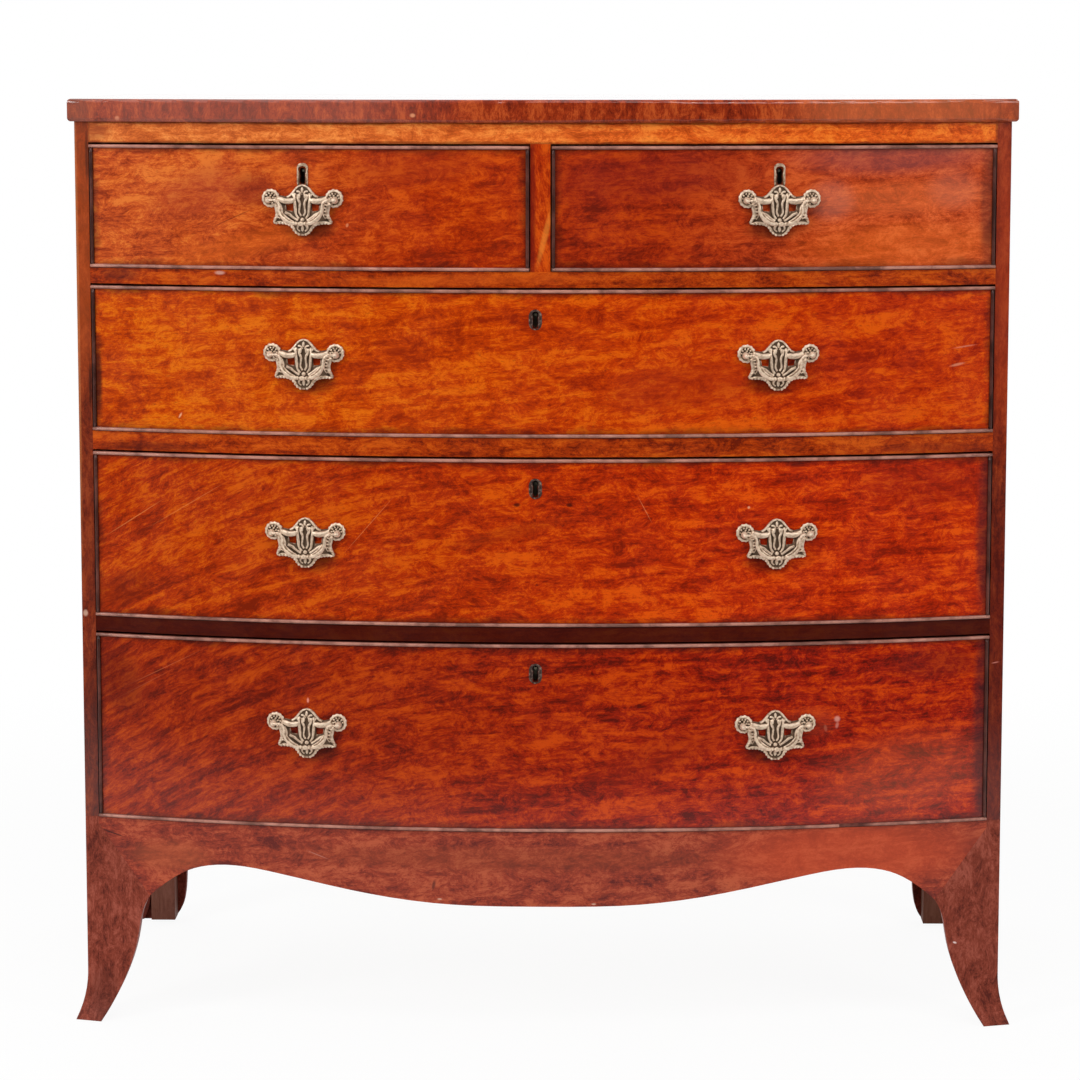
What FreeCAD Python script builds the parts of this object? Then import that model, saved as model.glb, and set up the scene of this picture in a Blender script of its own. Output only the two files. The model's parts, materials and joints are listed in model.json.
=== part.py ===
"""Bow front chest of drawers on splayed bracket feet, a parametric document in millimetres.

+X is to the right seen from the front, -Y is the front, +Z is up. The origin is on the floor,
at the middle of the chest's width and depth. The whole front follows one upright cylinder, the
bow: rails, drawer fronts, cock beads, top and apron are all cut to it.
"""
import FreeCAD, Part
import math
import os
import re

V = FreeCAD.Vector
Z_AXIS = V(0, 0, 1)
# How far a cutting shape runs past the face that it opens.
CLEAR = 5

# ---------------------------------------------------------------- driving dimensions, millimetres

DIMS = {
    # the carcass and its bow
    "half_width": 520,
    "overall_height": 1048,
    "bow_radius": 1840,
    "bow_centre_y": 1573.5,
    "back_y": 273.5,
    "side_thickness": 16,
    "stile_depth": 10,
    "side_low": 189,
    "top_thickness": 25,
    "top_overhang": 7,
    "edge_band": 4.5,
    "edge_rounding": 4,
    "rail_back_y": -131.5,
    "divider_width": 22,
    "dust_board": 8,
    "dust_housing": 6,
    "runner_width": 30,
    "bottom_board": 18,
    "back_board": 10,
    "back_rebate": 8,
    "back_plank_gap": 1.5,
    # the drawer openings: lower edge above the floor, and height
    "bottom_drawer_low": 236,
    "bottom_drawer_opening": 214.5,
    "third_drawer_low": 467.5,
    "third_drawer_opening": 189.5,
    "second_drawer_low": 678,
    "second_drawer_opening": 165.5,
    "small_drawer_low": 861,
    "small_drawer_opening": 139,
    # what every drawer is made of
    "drawer_gap": 1.2,
    "foot_gap": 0.5,
    "head_gap": 2,
    "front_thickness": 24,
    "lap": 12,
    "drawer_side": 11,
    "side_drop": 4,
    "drawer_back": 12,
    "drawer_back_y": 250,
    "back_drop": 12,
    "drawer_bottom": 7,
    "bottom_rise": 9,
    "groove": 4.5,
    "pin_narrow": 7,
    "pin_wide": 12,
    "bead": 3.2,
    "bead_proud": 3,
    "bead_depth": 9,
    # drawer stops
    "wide_stop_x": 180,
    "small_stop_x": 300,
    "stop_height": 6,
    "stop_length": 40,
    "stop_depth": 14,
    "stop_gap": 0.4,
    # handles, in each handle's own frame: on the bow, X along it, Y into the wood
    "handle_x": 261,
    "handle_drop": 3,
    "bottom_handle_drop": -1,
    "post_spacing": 74,
    "post_rise": 11,
    "pivot_reach": 11.5,
    "post_head": 5.5,
    "post_shank": 2.5,
    "post_length": 43,
    "nut_radius": 7,
    "nut_thickness": 4,
    "post_collar": 3.75,
    "plate_thickness": 2.2,
    "ribbon_relief": 1.6,
    "rosette_radius": 9.4,
    "rosette_relief": 4,
    "bar_radius": 2.6,
    "bail_radius": 2,
    "bail_pin": 1.45,
    "bail_pin_fit": 0.05,
    "bail_shoulder": 6.6,
    "bail_bend": 6,
    "bail_bow": 19.5,
    # locks
    "lock_x": -5.5,
    "keyhole_drop": 29.3,
    "keyhole_radius": 3.1,
    "keyhole_slot": 4.6,
    "keyhole_length": 15,
    "escutcheon_radius": 7.2,
    "escutcheon_drop": 1.7,
    "escutcheon_fall": 9.8,
    "escutcheon_inset": 3,
    "escutcheon_proud": 0.8,
    "keyhole_plate": 1.4,
    "drill_pin": 1.6,
    "drill_pin_depth": 3,
    "lock_width": 60,
    "lock_height": 46,
    "lock_depth": 9,
    "lock_wall": 2,
    "selvage_width": 74,
    "selvage": 2,
    "bolt_width": 22,
    "bolt_thickness": 4.5,
    "bolt_length": 30,
    "bolt_fit": 0.3,
    "bolt_mortise": 10,
    # apron and feet
    "apron_thickness": 20,
    "foot_flare": 13,
    "flare_height": 58,
    "foot_reach": 170,
    "mitre_drop": 8,
    "rear_bracket": 14,
    "block_size": 24,
    "rear_block": 30,
    "block_clear": 6,
    "front_block_reach": 52,
    "front_block_low": 75,
}

doc = FreeCAD.newDocument("bow_front_chest")
sheet = doc.addObject("Spreadsheet::Sheet", "dims")
for row, (alias, number) in enumerate(DIMS.items(), start=1):
    sheet.set(f"A{row}", alias)
    sheet.set(f"B{row}", str(number))
    sheet.setAlias(f"B{row}", alias)
doc.recompute()

WORD = re.compile(r"[a-z][a-z_]*")
NODES = {}


def dim(alias):
    """The number in the sheet under this alias."""
    return float(sheet.get(alias))


def formula(text):
    """An expression in which every alias points to its cell of the sheet."""
    return WORD.sub(lambda w: "dims." + w.group() if w.group() in DIMS else w.group(), str(text))


def node(name, thing):
    """Names a sub-part; its label is its node's name and its file's name."""
    thing.Label = name
    NODES[name] = thing
    return thing


# ---------------------------------------------------------------- shop helpers: cutting and joining


def bind(thing, prop, text):
    thing.setExpression(prop, formula(text))


def place(thing, x, y, z):
    for axis, text in zip("xyz", (x, y, z)):
        bind(thing, f"Placement.Base.{axis}", text)


def block(name, x, y, z):
    """A board with its low and high ends given along each axis."""
    board = doc.addObject("Part::Box", name)
    for prop, (low, high) in zip(("Length", "Width", "Height"), (x, y, z)):
        bind(board, prop, f"({high}) - ({low})")
    place(board, x[0], y[0], z[0])
    return board


def drum(name, radius, z):
    """The bow's upright cylinder, with another radius, between two heights."""
    cylinder = doc.addObject("Part::Cylinder", name)
    bind(cylinder, "Radius", radius)
    bind(cylinder, "Height", f"({z[1]}) - ({z[0]})")
    place(cylinder, "0", "bow_centre_y", z[0])
    return cylinder


def common(name, first, second):
    both = doc.addObject("Part::Common", name)
    both.Base, both.Tool = first, second
    return both


def cut(name, base, *tools):
    rest = doc.addObject("Part::Cut", name)
    rest.Base = base
    rest.Tool = tools[0] if len(tools) == 1 else group(name + "_tools", *tools)
    return rest


def fuse(name, *things):
    whole = doc.addObject("Part::MultiFuse", name)
    whole.Shapes = list(things)
    return whole


def group(name, *things):
    """Separate solids that share one node."""
    several = doc.addObject("Part::Compound", name)
    several.Links = list(things)
    return several


def made(name, shape):
    """A piece whose curved shape is built point by point from the sheet's numbers."""
    thing = doc.addObject("Part::Feature", name)
    thing.Shape = shape
    return thing


def mirrored(name, thing):
    """The same piece for the other side of the chest."""
    other = doc.addObject("Part::Mirroring", name)
    other.Source = thing
    other.Base = V(0, 0, 0)
    other.Normal = V(1, 0, 0)
    return other


def bow_y(x, radius="bow_radius"):
    """Expression for the bow's face at a place across the width."""
    return f"bow_centre_y - sqrt(({radius}) * ({radius}) - ({x}) * ({x}))"


def bowed(name, x, back_y, z, face="bow_radius", hollow=None):
    """A board whose front follows the bow; with a hollow radius it is bent along its back too."""
    blank = block(name + "_blank", x, (bow_y("0", face) + " - 1", back_y), z)
    shaped = common(name if hollow is None else name + "_outer", blank, drum(name + "_face", face, z))
    if hollow is None:
        return shaped
    return cut(name, shaped, drum(name + "_hollow", hollow, z))


INNER = "(half_width - side_thickness)"
OPENINGS = ("bottom_drawer", "third_drawer", "second_drawer", "small_drawer")
FLOOR = {opening: f"{opening}_low" for opening in OPENINGS}
HEAD = {opening: f"({opening}_low + {opening}_opening)" for opening in OPENINGS}
# Each pair of openings with a rail between them, the lower one first.
RAILED = tuple(zip(OPENINGS, OPENINGS[1:]))
TOP_LOW = "(overall_height - top_thickness)"
BASE_LOW = "(bottom_drawer_low - bottom_board)"

# ---------------------------------------------------------------- the top and its edge banding


def make_top():
    reach = "(half_width + top_overhang)"
    core_reach = "(half_width + top_overhang - edge_band)"
    face = "bow_radius + top_overhang"
    z = (TOP_LOW, "overall_height")
    whole = bowed("top_whole", (f"-{reach}", reach), "back_y", z, face)
    doc.recompute()
    rounded = doc.addObject("Part::Fillet", "top_rounded")
    rounded.Base = whole
    arrises = [
        number
        for number, edge in enumerate(whole.Shape.Edges, start=1)
        if edge.BoundBox.ZLength < 0.01 and edge.BoundBox.YMin < dim("back_y") - 1
    ]
    rounding = dim("edge_rounding")
    rounded.Edges = [(number, rounding, rounding) for number in arrises]
    core = bowed("top_core", (f"-{core_reach}", core_reach), "back_y", z, face + " - edge_band")
    node("top_board", core)
    node("top_edge_band", cut("top_edge_band", rounded, core))


# ---------------------------------------------------------------- carcass: sides, rails, boards


def make_rails(mortises):
    rails = []
    for lower, upper in RAILED:
        z = (HEAD[lower], FLOOR[upper])
        board = bowed(f"rail_over_{lower}", (f"-{INNER}", INNER), "rail_back_y", z)
        rails.append(cut(f"rail_over_{lower}_mortised", board, mortises[lower]))
    node("drawer_rails", group("drawer_rails", *rails))
    frieze_z = (HEAD["small_drawer"], TOP_LOW)
    frieze = bowed("frieze_blank", (f"-{INNER}", INNER), "rail_back_y", frieze_z)
    small = (mortises["top_left_drawer"], mortises["top_right_drawer"])
    node("frieze_rail", cut("frieze_rail", frieze, *small))


def make_divider():
    half = "divider_width / 2"
    z = (FLOOR["small_drawer"], HEAD["small_drawer"])
    board = bowed("divider", (f"-{half}", half), "back_y - back_board", z)
    kicker = block(
        "divider_kicker",
        (f"-{half}", half),
        ("rail_back_y", "back_y - back_board"),
        (HEAD["small_drawer"], TOP_LOW),
    )
    node("centre_divider", fuse("centre_divider", board, kicker))


def make_dust_boards():
    reach = f"({INNER} + dust_housing)"
    y = ("rail_back_y", "back_y - back_board")
    boards = []
    for lower in ("bottom_drawer", "third_drawer", "second_drawer"):
        z = (HEAD[lower], f"{HEAD[lower]} + dust_board")
        boards.append(block(f"dust_over_{lower}", (f"-{reach}", reach), y, z))
    return node("dust_boards", group("dust_boards", *boards))


def make_runners():
    """Strips on the dust boards, level with the rails, that carry the drawer sides.

    The two small drawers have kickers above them too, which keep them level when they are open.
    """
    y = ("rail_back_y", "back_y - back_board")
    strips = []
    for lower, upper in RAILED:
        z = (f"{HEAD[lower]} + dust_board", FLOOR[upper])
        strips.append(block(f"runner_left_{upper}", (f"-{INNER}", f"-{INNER} + runner_width"), y, z))
        strips.append(block(f"runner_right_{upper}", (f"{INNER} - runner_width", INNER), y, z))
    z = (f"{HEAD['second_drawer']} + dust_board", FLOOR["small_drawer"])
    centre = "(divider_width / 2 + runner_width)"
    strips.append(block("runner_centre", (f"-{centre}", centre), y, z))
    kicker_z = (HEAD["small_drawer"], TOP_LOW)
    strips.append(block("kicker_left", (f"-{INNER}", f"-{INNER} + runner_width"), y, kicker_z))
    strips.append(block("kicker_right", (f"{INNER} - runner_width", INNER), y, kicker_z))
    node("drawer_runners", group("drawer_runners", *strips))


def make_base_and_back():
    z = (BASE_LOW, "bottom_drawer_low")
    face = "bow_radius - apron_thickness"
    node("bottom_board", bowed("bottom_board", (f"-{INNER}", INNER), "back_y - back_board", z, face))
    planks = []
    count = 4
    height = f"({TOP_LOW} - {BASE_LOW}) / {count}"
    reach = f"({INNER} + back_rebate)"
    y = ("back_y - back_board", "back_y")
    for step in range(count):
        low = f"{BASE_LOW} + {step} * {height}"
        z = (low, f"{low} + {height} - back_plank_gap")
        planks.append(block(f"plank_{step + 1}", (f"-{reach}", reach), y, z))
    return node("back_boards", group("back_boards", *planks))


def make_sides(dust_boards, back_boards):
    """Each side is housed for the dust boards and rebated for the back; the stile covers its front."""
    stile_back = bow_y("half_width") + " + stile_depth"
    z = ("bottom_drawer_low", TOP_LOW)
    rebate_z = (BASE_LOW, TOP_LOW)
    rebate = block(
        "side_rebate",
        (INNER, f"{INNER} + back_rebate"),
        ("back_y - back_board", "back_y"),
        rebate_z,
    )
    board = block("side_blank", (INNER, "half_width"), (stile_back, "back_y"), ("side_low", TOP_LOW))
    right = cut("side_right", board, rebate, dust_boards)
    node("side_right", right)
    node("side_left", mirrored("side_left", right))
    stile = bowed("stile", (INNER, "half_width"), stile_back, z)
    node("corner_stiles", group("corner_stiles", stile, mirrored("stile_left", stile)))


def make_stops():
    """Blocks on the rails that the backs of the drawer fronts run against."""
    face = "bow_radius - front_thickness"
    wide = ("bottom_drawer", "third_drawer", "second_drawer")
    places = [(low, side + "wide_stop_x") for low in wide for side in ("-", "")]
    places += [("small_drawer", side + "small_stop_x") for side in ("-", "")]
    stops = []
    for low, x in places:
        far = f"(abs({x}) + stop_length / 2)"
        y = f"{bow_y(far, face)} + stop_gap"
        span = (f"{x} - stop_length / 2", f"{x} + stop_length / 2")
        z = (FLOOR[low], f"{FLOOR[low]} + stop_height")
        stops.append(block(f"stop_{len(stops) + 1}", span, (y, f"{y} + stop_depth"), z))
    node("drawer_stops", group("drawer_stops", *stops))


# ---------------------------------------------------------------- apron and feet

# Lower outline of the apron from the middle to its highest point: across, and above the floor.
APRON_CURVE = ((0, 151), (110, 153), (215, 166.5), (300, 183))
# Inner outline of a bracket foot, from its highest point down: in from the corner, and above the floor.
FOOT_CURVE = ((170, 189), (122, 181), (97, 166.5), (75, 148), (65.5, 127), (60.5, 100), (40, 40), (17, 0))
# Inner edge of the plain board of a rear foot, from its top down, in the same way.
REAR_BOARD_CURVE = ((122, 219), (80, 165), (60, 105), (56, 36), (49, 11), (38, 0))
MITRE_POINT = 3
BELOW_FLOOR = -1
FLARE_POWER = 2.2
FLARE_STEPS = 5


def spline(points, start=None, end=None):
    """A smooth curve through the points, with its directions at both ends if they are given."""
    curve = Part.BSplineCurve()
    if start is None:
        curve.interpolate(points)
    else:
        curve.interpolate(Points=points, InitialTangent=start, FinalTangent=end)
    return curve.toShape()


def polyline(*points):
    return [Part.LineSegment(a, b).toShape() for a, b in zip(points, points[1:])]


def face_of(edges):
    return Part.Face(Part.Wire(Part.__sortEdges__(edges)))


def flare_at(z):
    """How far the foot stands out past the carcass at this height."""
    rest = max(0.0, 1 - z / dim("flare_height"))
    return dim("foot_flare") * rest**FLARE_POWER


def on_bow(x, radius, z):
    return V(x, dim("bow_centre_y") - math.sqrt(radius**2 - x**2), z)


def bow_arc(x_a, x_b, radius, z):
    middle = on_bow((x_a + x_b) / 2, radius, z)
    return Part.Arc(on_bow(x_a, radius, z), middle, on_bow(x_b, radius, z)).toShape()


def lofted(section, top):
    """Runs a cross-section straight down from the top and out along the flare to the floor."""
    knee = dim("flare_height")
    heights = [knee * step / (FLARE_STEPS - 1) for step in range(FLARE_STEPS)]
    flared = Part.makeLoft([section(z) for z in heights], True)
    straight = Part.Face(section(knee)).extrude(V(0, 0, top - knee))
    return flared.fuse(straight).removeSplitter()


def front_section(z):
    """The front bracket: bent to the bow, mitred to the side bracket at the corner."""
    out = flare_at(z)
    radius = dim("bow_radius") + out
    inner = radius - dim("apron_thickness")
    corner = dim("half_width") + out
    heel = corner - dim("side_thickness")
    far = dim("half_width") - dim("foot_reach")
    edges = [bow_arc(corner, far, radius, z), bow_arc(far, heel, inner, z)]
    edges += polyline(on_bow(far, radius, z), on_bow(far, inner, z))
    edges += polyline(on_bow(heel, inner, z), on_bow(corner, radius, z))
    return Part.Wire(Part.__sortEdges__(edges))


def side_section(z):
    """The side bracket behind the mitre."""
    out = flare_at(z)
    radius = dim("bow_radius") + out
    corner = dim("half_width") + out
    heel = corner - dim("side_thickness")
    a = on_bow(corner, radius, z)
    b = on_bow(heel, radius - dim("apron_thickness"), z)
    end = on_bow(dim("half_width"), dim("bow_radius"), 0).y + dim("foot_reach")
    return Part.Wire(polyline(a, b, V(heel, end, z), V(corner, end, z), a))


def oblong(x_a, x_b, y_a, y_b, z):
    """A rectangular outline at one height."""
    corners = [V(x_a, y_a, z), V(x_b, y_a, z), V(x_b, y_b, z), V(x_a, y_b, z)]
    return Part.Wire(polyline(*corners, corners[0]))


def rear_section(z):
    """The rear foot's side bracket: it flares sideways only, so the chest stands flat to a wall."""
    corner = dim("half_width") + flare_at(z)
    back = dim("back_y")
    return oblong(corner - dim("side_thickness"), corner, back - dim("foot_reach"), back, z)


def rear_board_section(z):
    """The plain board across the back, out to the inner face of the side bracket."""
    heel = dim("half_width") + flare_at(z) - dim("side_thickness")
    back = dim("back_y")
    return oblong(dim("half_width") / 2, heel, back - dim("rear_bracket"), back, z)


def plate_of(points, around, direction, start=None, end=None):
    """A solid whose outline is a spline through the points, closed by straight edges around it."""
    edges = [spline(points, start, end)] + polyline(points[-1], *around, points[0])
    return face_of(edges).extrude(direction)


def side_cutter(corner_y, inward, around):
    """Everything inside a side bracket's outline; inward points along the side, away from the corner."""
    x = dim("half_width") / 2
    edge = [V(x, corner_y + inward * back, z) for back, z in FOOT_CURVE]
    foot = V(x, edge[-1].y, BELOW_FLOOR)
    around = [foot] + [V(x, y, z) for y, z in around]
    return plate_of(edge, around, V(2 * x, 0, 0), V(0, -inward, 0), V(0, -inward, -2))


def make_apron():
    """A bent board with a serpentine lower edge, ending in mitres that run down from the stiles."""
    half, head = dim("half_width"), dim("bottom_drawer_low")
    inner, front_y = half - dim("side_thickness"), -half
    mitre = head - dim("mitre_drop")
    right = [V(x, front_y, z) for x, z in APRON_CURVE[1:]]
    right += [V(half - x, front_y, z) for x, z in FOOT_CURVE[: MITRE_POINT + 1]]
    left = [V(-p.x, p.y, p.z) for p in reversed(right)]
    lower_edge = left + [V(0, front_y, APRON_CURVE[0][1])] + right
    corners = ((inner, mitre), (inner, head), (-inner, head), (-inner, mitre))
    shoulders = [V(x, front_y, z) for x, z in corners]
    outline = made("apron_outline", plate_of(lower_edge, shoulders, V(0, half, 0)))
    shell = bowed(
        "apron_shell",
        (f"-{INNER}", INNER),
        "rail_back_y",
        ("side_low - foot_reach / 3", "bottom_drawer_low"),
        "bow_radius",
        "bow_radius - apron_thickness",
    )
    node("apron", common("apron", shell, outline))


def with_mirror(name, *pieces):
    """A node that holds pieces and their mirror images on the left."""
    return node(name, group(name, *pieces, *[mirrored(piece.Name + "_left", piece) for piece in pieces]))


def make_front_feet():
    """Each front foot is a front bracket, bent to the bow, and a side bracket mitred to it."""
    half, head = dim("half_width"), dim("bottom_drawer_low")
    inner, front_y = half - dim("side_thickness"), -half
    wide = half + 2 * dim("foot_flare")
    edge = [V(half - x, front_y, z) for x, z in FOOT_CURVE[MITRE_POINT:]]
    around = [
        (edge[-1].x, BELOW_FLOOR),
        (wide, BELOW_FLOOR),
        (wide, head),
        (inner, head),
        (inner, head - dim("mitre_drop")),
    ]
    cutter = plate_of(edge, [V(x, front_y, z) for x, z in around], V(0, half, 0))
    corner_y = on_bow(half, dim("bow_radius"), 0).y
    step_y, low = corner_y + dim("stile_depth"), dim("side_low")
    side_board = Part.makeBox(half, half, head, V(inner, step_y, low))
    front = made("front_bracket", lofted(front_section, head).common(cutter).cut(side_board))
    side_around = ((front_y, BELOW_FLOOR), (front_y, head), (step_y, head), (step_y, low))
    side = lofted(side_section, head).common(side_cutter(corner_y, 1, side_around))
    with_mirror("front_feet", front, made("front_side_bracket", side))


def make_rear_feet():
    """The side bracket turned round, and behind it a plain board across the back."""
    half, back, low = dim("half_width"), dim("back_y"), dim("side_low")
    cutter = side_cutter(back, -1, ((2 * back, BELOW_FLOOR), (2 * back, low)))
    side = lofted(rear_section, low).common(cutter)
    top = dim("bottom_drawer_low") - dim("bottom_board")
    edge = [V(half - x, 0, z) for x, z in REAR_BOARD_CURVE]
    around = [V(edge[-1].x, 0, BELOW_FLOOR), V(2 * half, 0, BELOW_FLOOR), V(2 * half, 0, edge[0].z)]
    cutter = plate_of(edge, around, V(0, 2 * back, 0))
    board = lofted(rear_board_section, top).common(cutter).cut(side)
    with_mirror("rear_feet", made("rear_side_bracket", side), made("rear_bracket_board", board))


def make_foot_blocks():
    """Upright blocks glued into the four corners under the carcass."""
    front_y = bow_y(INNER, "bow_radius - apron_thickness") + " + stop_gap"
    front = block(
        "front_corner_block",
        (f"{INNER} - block_size", INNER),
        (front_y, f"{bow_y('half_width')} + front_block_reach"),
        ("front_block_low", BASE_LOW),
    )
    rear = block(
        "rear_corner_block",
        (f"{INNER} - rear_block", INNER),
        ("back_y - rear_bracket - rear_block", "back_y - rear_bracket"),
        ("block_clear", BASE_LOW),
    )
    with_mirror("foot_blocks", front, rear)


# ---------------------------------------------------------------- handles, locks and their frames


def seat(x, z, thing):
    """Sets a fitting on the bow: its own -Y axis then points straight out of the wood."""
    angle = math.asin(x / dim("bow_radius"))
    spot = on_bow(x, dim("bow_radius"), z)
    thing.Placement = FreeCAD.Placement(spot, FreeCAD.Rotation(Z_AXIS, math.degrees(angle)))
    return thing


def along_y(radius, x, z, y_a, y_b):
    return Part.makeCylinder(radius, y_b - y_a, V(x, y_a, z), V(0, 1, 0))


def along_x(radius, x_a, x_b, y, z):
    return Part.makeCylinder(radius, x_b - x_a, V(x_a, y, z), V(1, 0, 0))


def prism(points, y_front, y_back):
    """A flat plate with straight edges between points in the plane of the wood."""
    corners = [V(x, y_back, z) for x, z in points]
    outline = Part.Face(Part.makePolygon(corners + corners[:1]))
    return outline.extrude(V(0, y_front - y_back, 0))


def both_sides(points):
    """Mirrors a half outline that runs from the top middle to the bottom middle."""
    return list(points) + [(-x, z) for x, z in reversed(points[1:-1])]


# Half outline of the pierced back plate, from its top point clockwise to its bottom point.
PLATE_EDGE = (
    (0, 29),
    (3, 24),
    (9, 21),
    (15, 18.5),
    (27, 17),
    (36, 12),
    (31, -3),
    (35, -8),
    (34, -13),
    (25, -13.5),
    (15, -16),
    (8, -22),
    (0, -26),
)
# The pierced window under each bar.
PLATE_WINDOW = ((7, 6.5), (25, 6.5), (27, 1), (24, -6), (18, -9), (10, -8), (5.5, -2))
# The raised ribbon down the middle of the plate.
RIBBON = ((0, 25), (4, 21), (3.5, 12), (5.5, 4), (3, -4), (4, -12), (0, -22))
# Half outline of the plate over a small drawer's keyhole.
KEY_PLATE = ((0, 9.5), (4.5, 8), (6.8, 4), (6.8, -12), (5, -17), (3.5, -22), (0, -22))


def handle_plate(key_rise):
    """A pierced plate bent to the bow; a small drawer's plate has the keyhole's plate on its top."""
    front, relief = -dim("plate_thickness"), dim("rosette_relief")
    half, rise, radius = dim("post_spacing") / 2, dim("post_rise"), dim("bow_radius")
    bar = along_x(dim("bar_radius"), -half, half, front, rise)
    ribbon = prism(both_sides(RIBBON), front - dim("ribbon_relief"), front)
    rosettes = [along_y(dim("rosette_radius"), side * half, rise, -relief, CLEAR) for side in (-1, 1)]
    plate = prism(both_sides(PLATE_EDGE), front, CLEAR).fuse([bar, ribbon, *rosettes])
    wood = Part.makeCylinder(radius, 4 * half, V(0, radius, -2 * half))
    cutters = [wood]
    for side in (-1, 1):
        cutters.append(prism([(side * x, z) for x, z in PLATE_WINDOW], front - CLEAR, CLEAR))
        cutters.append(along_y(dim("post_shank"), side * half, rise, -relief, CLEAR))
        cutters.append(along_y(dim("post_collar"), side * half, rise, -relief - CLEAR, -relief))
    plate = plate.cut(cutters)
    if key_rise:
        key_plate = prism(both_sides(KEY_PLATE), -dim("keyhole_plate"), 0)
        hole = keyhole(-CLEAR, CLEAR)
        for thing in (key_plate, hole):
            thing.translate(V(0, 0, key_rise))
        plate = plate.fuse(key_plate).cut(hole)
    return plate.removeSplitter()


def handle_post(side):
    """A shank through the drawer front with a ball head bored for the bail's pin, and its nut."""
    x, z, reach = side * dim("post_spacing") / 2, dim("post_rise"), dim("pivot_reach")
    ball, relief = dim("post_head"), dim("rosette_relief")
    shank = along_y(dim("post_shank"), x, z, -reach, dim("post_length") - reach)
    head = Part.makeSphere(ball, V(x, -reach, z))
    collar = along_y(dim("post_collar"), x, z, -reach, -relief)
    radius = dim("bow_radius")
    nut_y = radius - math.sqrt((radius - dim("front_thickness")) ** 2 - (abs(x) + dim("nut_radius")) ** 2)
    nut = along_y(dim("nut_radius"), x, z, nut_y, nut_y + dim("nut_thickness"))
    bore = dim("bail_pin") + dim("bail_pin_fit")
    inner_end, outer_end = sorted((0, x + side * ball / 2))
    post = shank.fuse([head, collar]).cut(along_x(bore, inner_end, outer_end, -reach, z))
    return post, nut.cut(shank)


def bail_shape():
    """A drop handle: a round bar bent in tangent arcs, with a thinner pin at each end."""
    half, rise, y = dim("post_spacing") / 2, dim("post_rise"), -dim("pivot_reach")
    bend, bow = dim("bail_bend"), dim("bail_bow")
    shoulder = half - dim("bail_shoulder")
    knee_x, knee_z = shoulder - bend, rise - bend
    flat, low = knee_x - bow, knee_z - bow
    root = math.sqrt(0.5)
    knee = V(knee_x, y, knee_z)
    upper = Part.Arc(V(shoulder, y, rise), V(shoulder - bend * root, y, knee_z + bend * root), knee)
    lower = Part.Arc(knee, V(flat + bow * root, y, knee_z - bow * root), V(flat, y, low))
    edges = [upper.toShape(), lower.toShape()]
    edges += [edge.mirror(V(0, 0, 0), V(1, 0, 0)) for edge in edges]
    edges += polyline(V(flat, y, low), V(-flat, y, low))
    path = Part.Wire(Part.__sortEdges__(edges))
    start = path.OrderedVertexes[0].Point
    ring = Part.Wire(Part.Circle(start, V(1, 0, 0), dim("bail_radius")).toShape())
    bar = path.makePipeShell([ring], True, True)
    pins = [along_x(dim("bail_pin"), a, b, y, rise) for a, b in ((shoulder, half), (-half, -shoulder))]
    return bar.fuse(pins).removeSplitter()


def keyhole(y_a, y_b):
    """A round hole with a straight slot below it, between two depths in the wood."""
    slot, length = dim("keyhole_slot"), dim("keyhole_length")
    box = Part.makeBox(slot, y_b - y_a, length, V(-slot / 2, y_a, -length))
    return along_y(dim("keyhole_radius"), 0, 0, y_a, y_b).fuse(box)


def long_oval(y_a, y_b):
    """The outline of a wide drawer's escutcheon, two half rounds with straight sides between them."""
    radius, high, low = dim("escutcheon_radius"), -dim("escutcheon_drop"), -dim("escutcheon_fall")
    crown = Part.Arc(V(-radius, y_a, high), V(0, y_a, high + radius), V(radius, y_a, high)).toShape()
    heel = Part.Arc(V(radius, y_a, low), V(0, y_a, low - radius), V(-radius, y_a, low)).toShape()
    flanks = [polyline(V(side * radius, y_a, high), V(side * radius, y_a, low))[0] for side in (-1, 1)]
    return face_of([crown, heel, *flanks]).extrude(V(0, y_b - y_a, 0))


def escutcheon():
    """A wide drawer's keyhole has a metal oval let into the wood, a little proud of it."""
    oval = long_oval(-dim("escutcheon_proud"), dim("escutcheon_inset"))
    return oval.cut(keyhole(-CLEAR, CLEAR))


def middle_box(width, y, z):
    """A box centred across the width, between two depths and two heights."""
    return Part.makeBox(width, y[1] - y[0], z[1] - z[0], V(-width / 2, y[0], z[0]))


def lock_body(top, outer, inner):
    """The lock's case with the wider selvage along its top, between two depths in the front."""
    body = middle_box(dim("lock_width"), (outer, inner), (top - dim("lock_height"), top))
    band = middle_box(dim("selvage_width"), (outer - dim("selvage"), inner), (top - dim("selvage"), top))
    return body.fuse(band)


def lock_parts():
    """Case, bolt, the room that they take in the front, and the bolt's mortise in the rail above."""
    top, inner = dim("keyhole_drop") - dim("head_gap"), dim("front_thickness")
    outer, wide, fit = inner - dim("lock_depth"), dim("bolt_width"), dim("bolt_fit")
    bolt_y = outer + dim("lock_wall")
    bolt_back = bolt_y + dim("bolt_thickness")
    bolt_low = top - dim("bolt_length")
    bolt = middle_box(wide, (bolt_y, bolt_back), (bolt_low, top))
    slot = middle_box(wide + 2 * fit, (bolt_y - fit, bolt_back + fit), (bolt_low - fit, top + CLEAR))
    pin = along_y(dim("drill_pin"), 0, 0, dim("drill_pin_depth"), outer)
    case = lock_body(top, outer, inner).fuse(pin).cut(slot)
    room = lock_body(top, outer, inner + CLEAR)
    mortise_z = (top, top + dim("head_gap") + dim("bolt_mortise"))
    mortise = middle_box(wide + 4 * fit, (bolt_y - 2 * fit, bolt_back + 2 * fit), mortise_z)
    return case, bolt, room, mortise


# ---------------------------------------------------------------- drawers

WIDE_X = (f"-{INNER}", INNER)
LEFT_X = (f"-{INNER}", "-divider_width / 2")
RIGHT_X = ("divider_width / 2", INNER)
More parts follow.
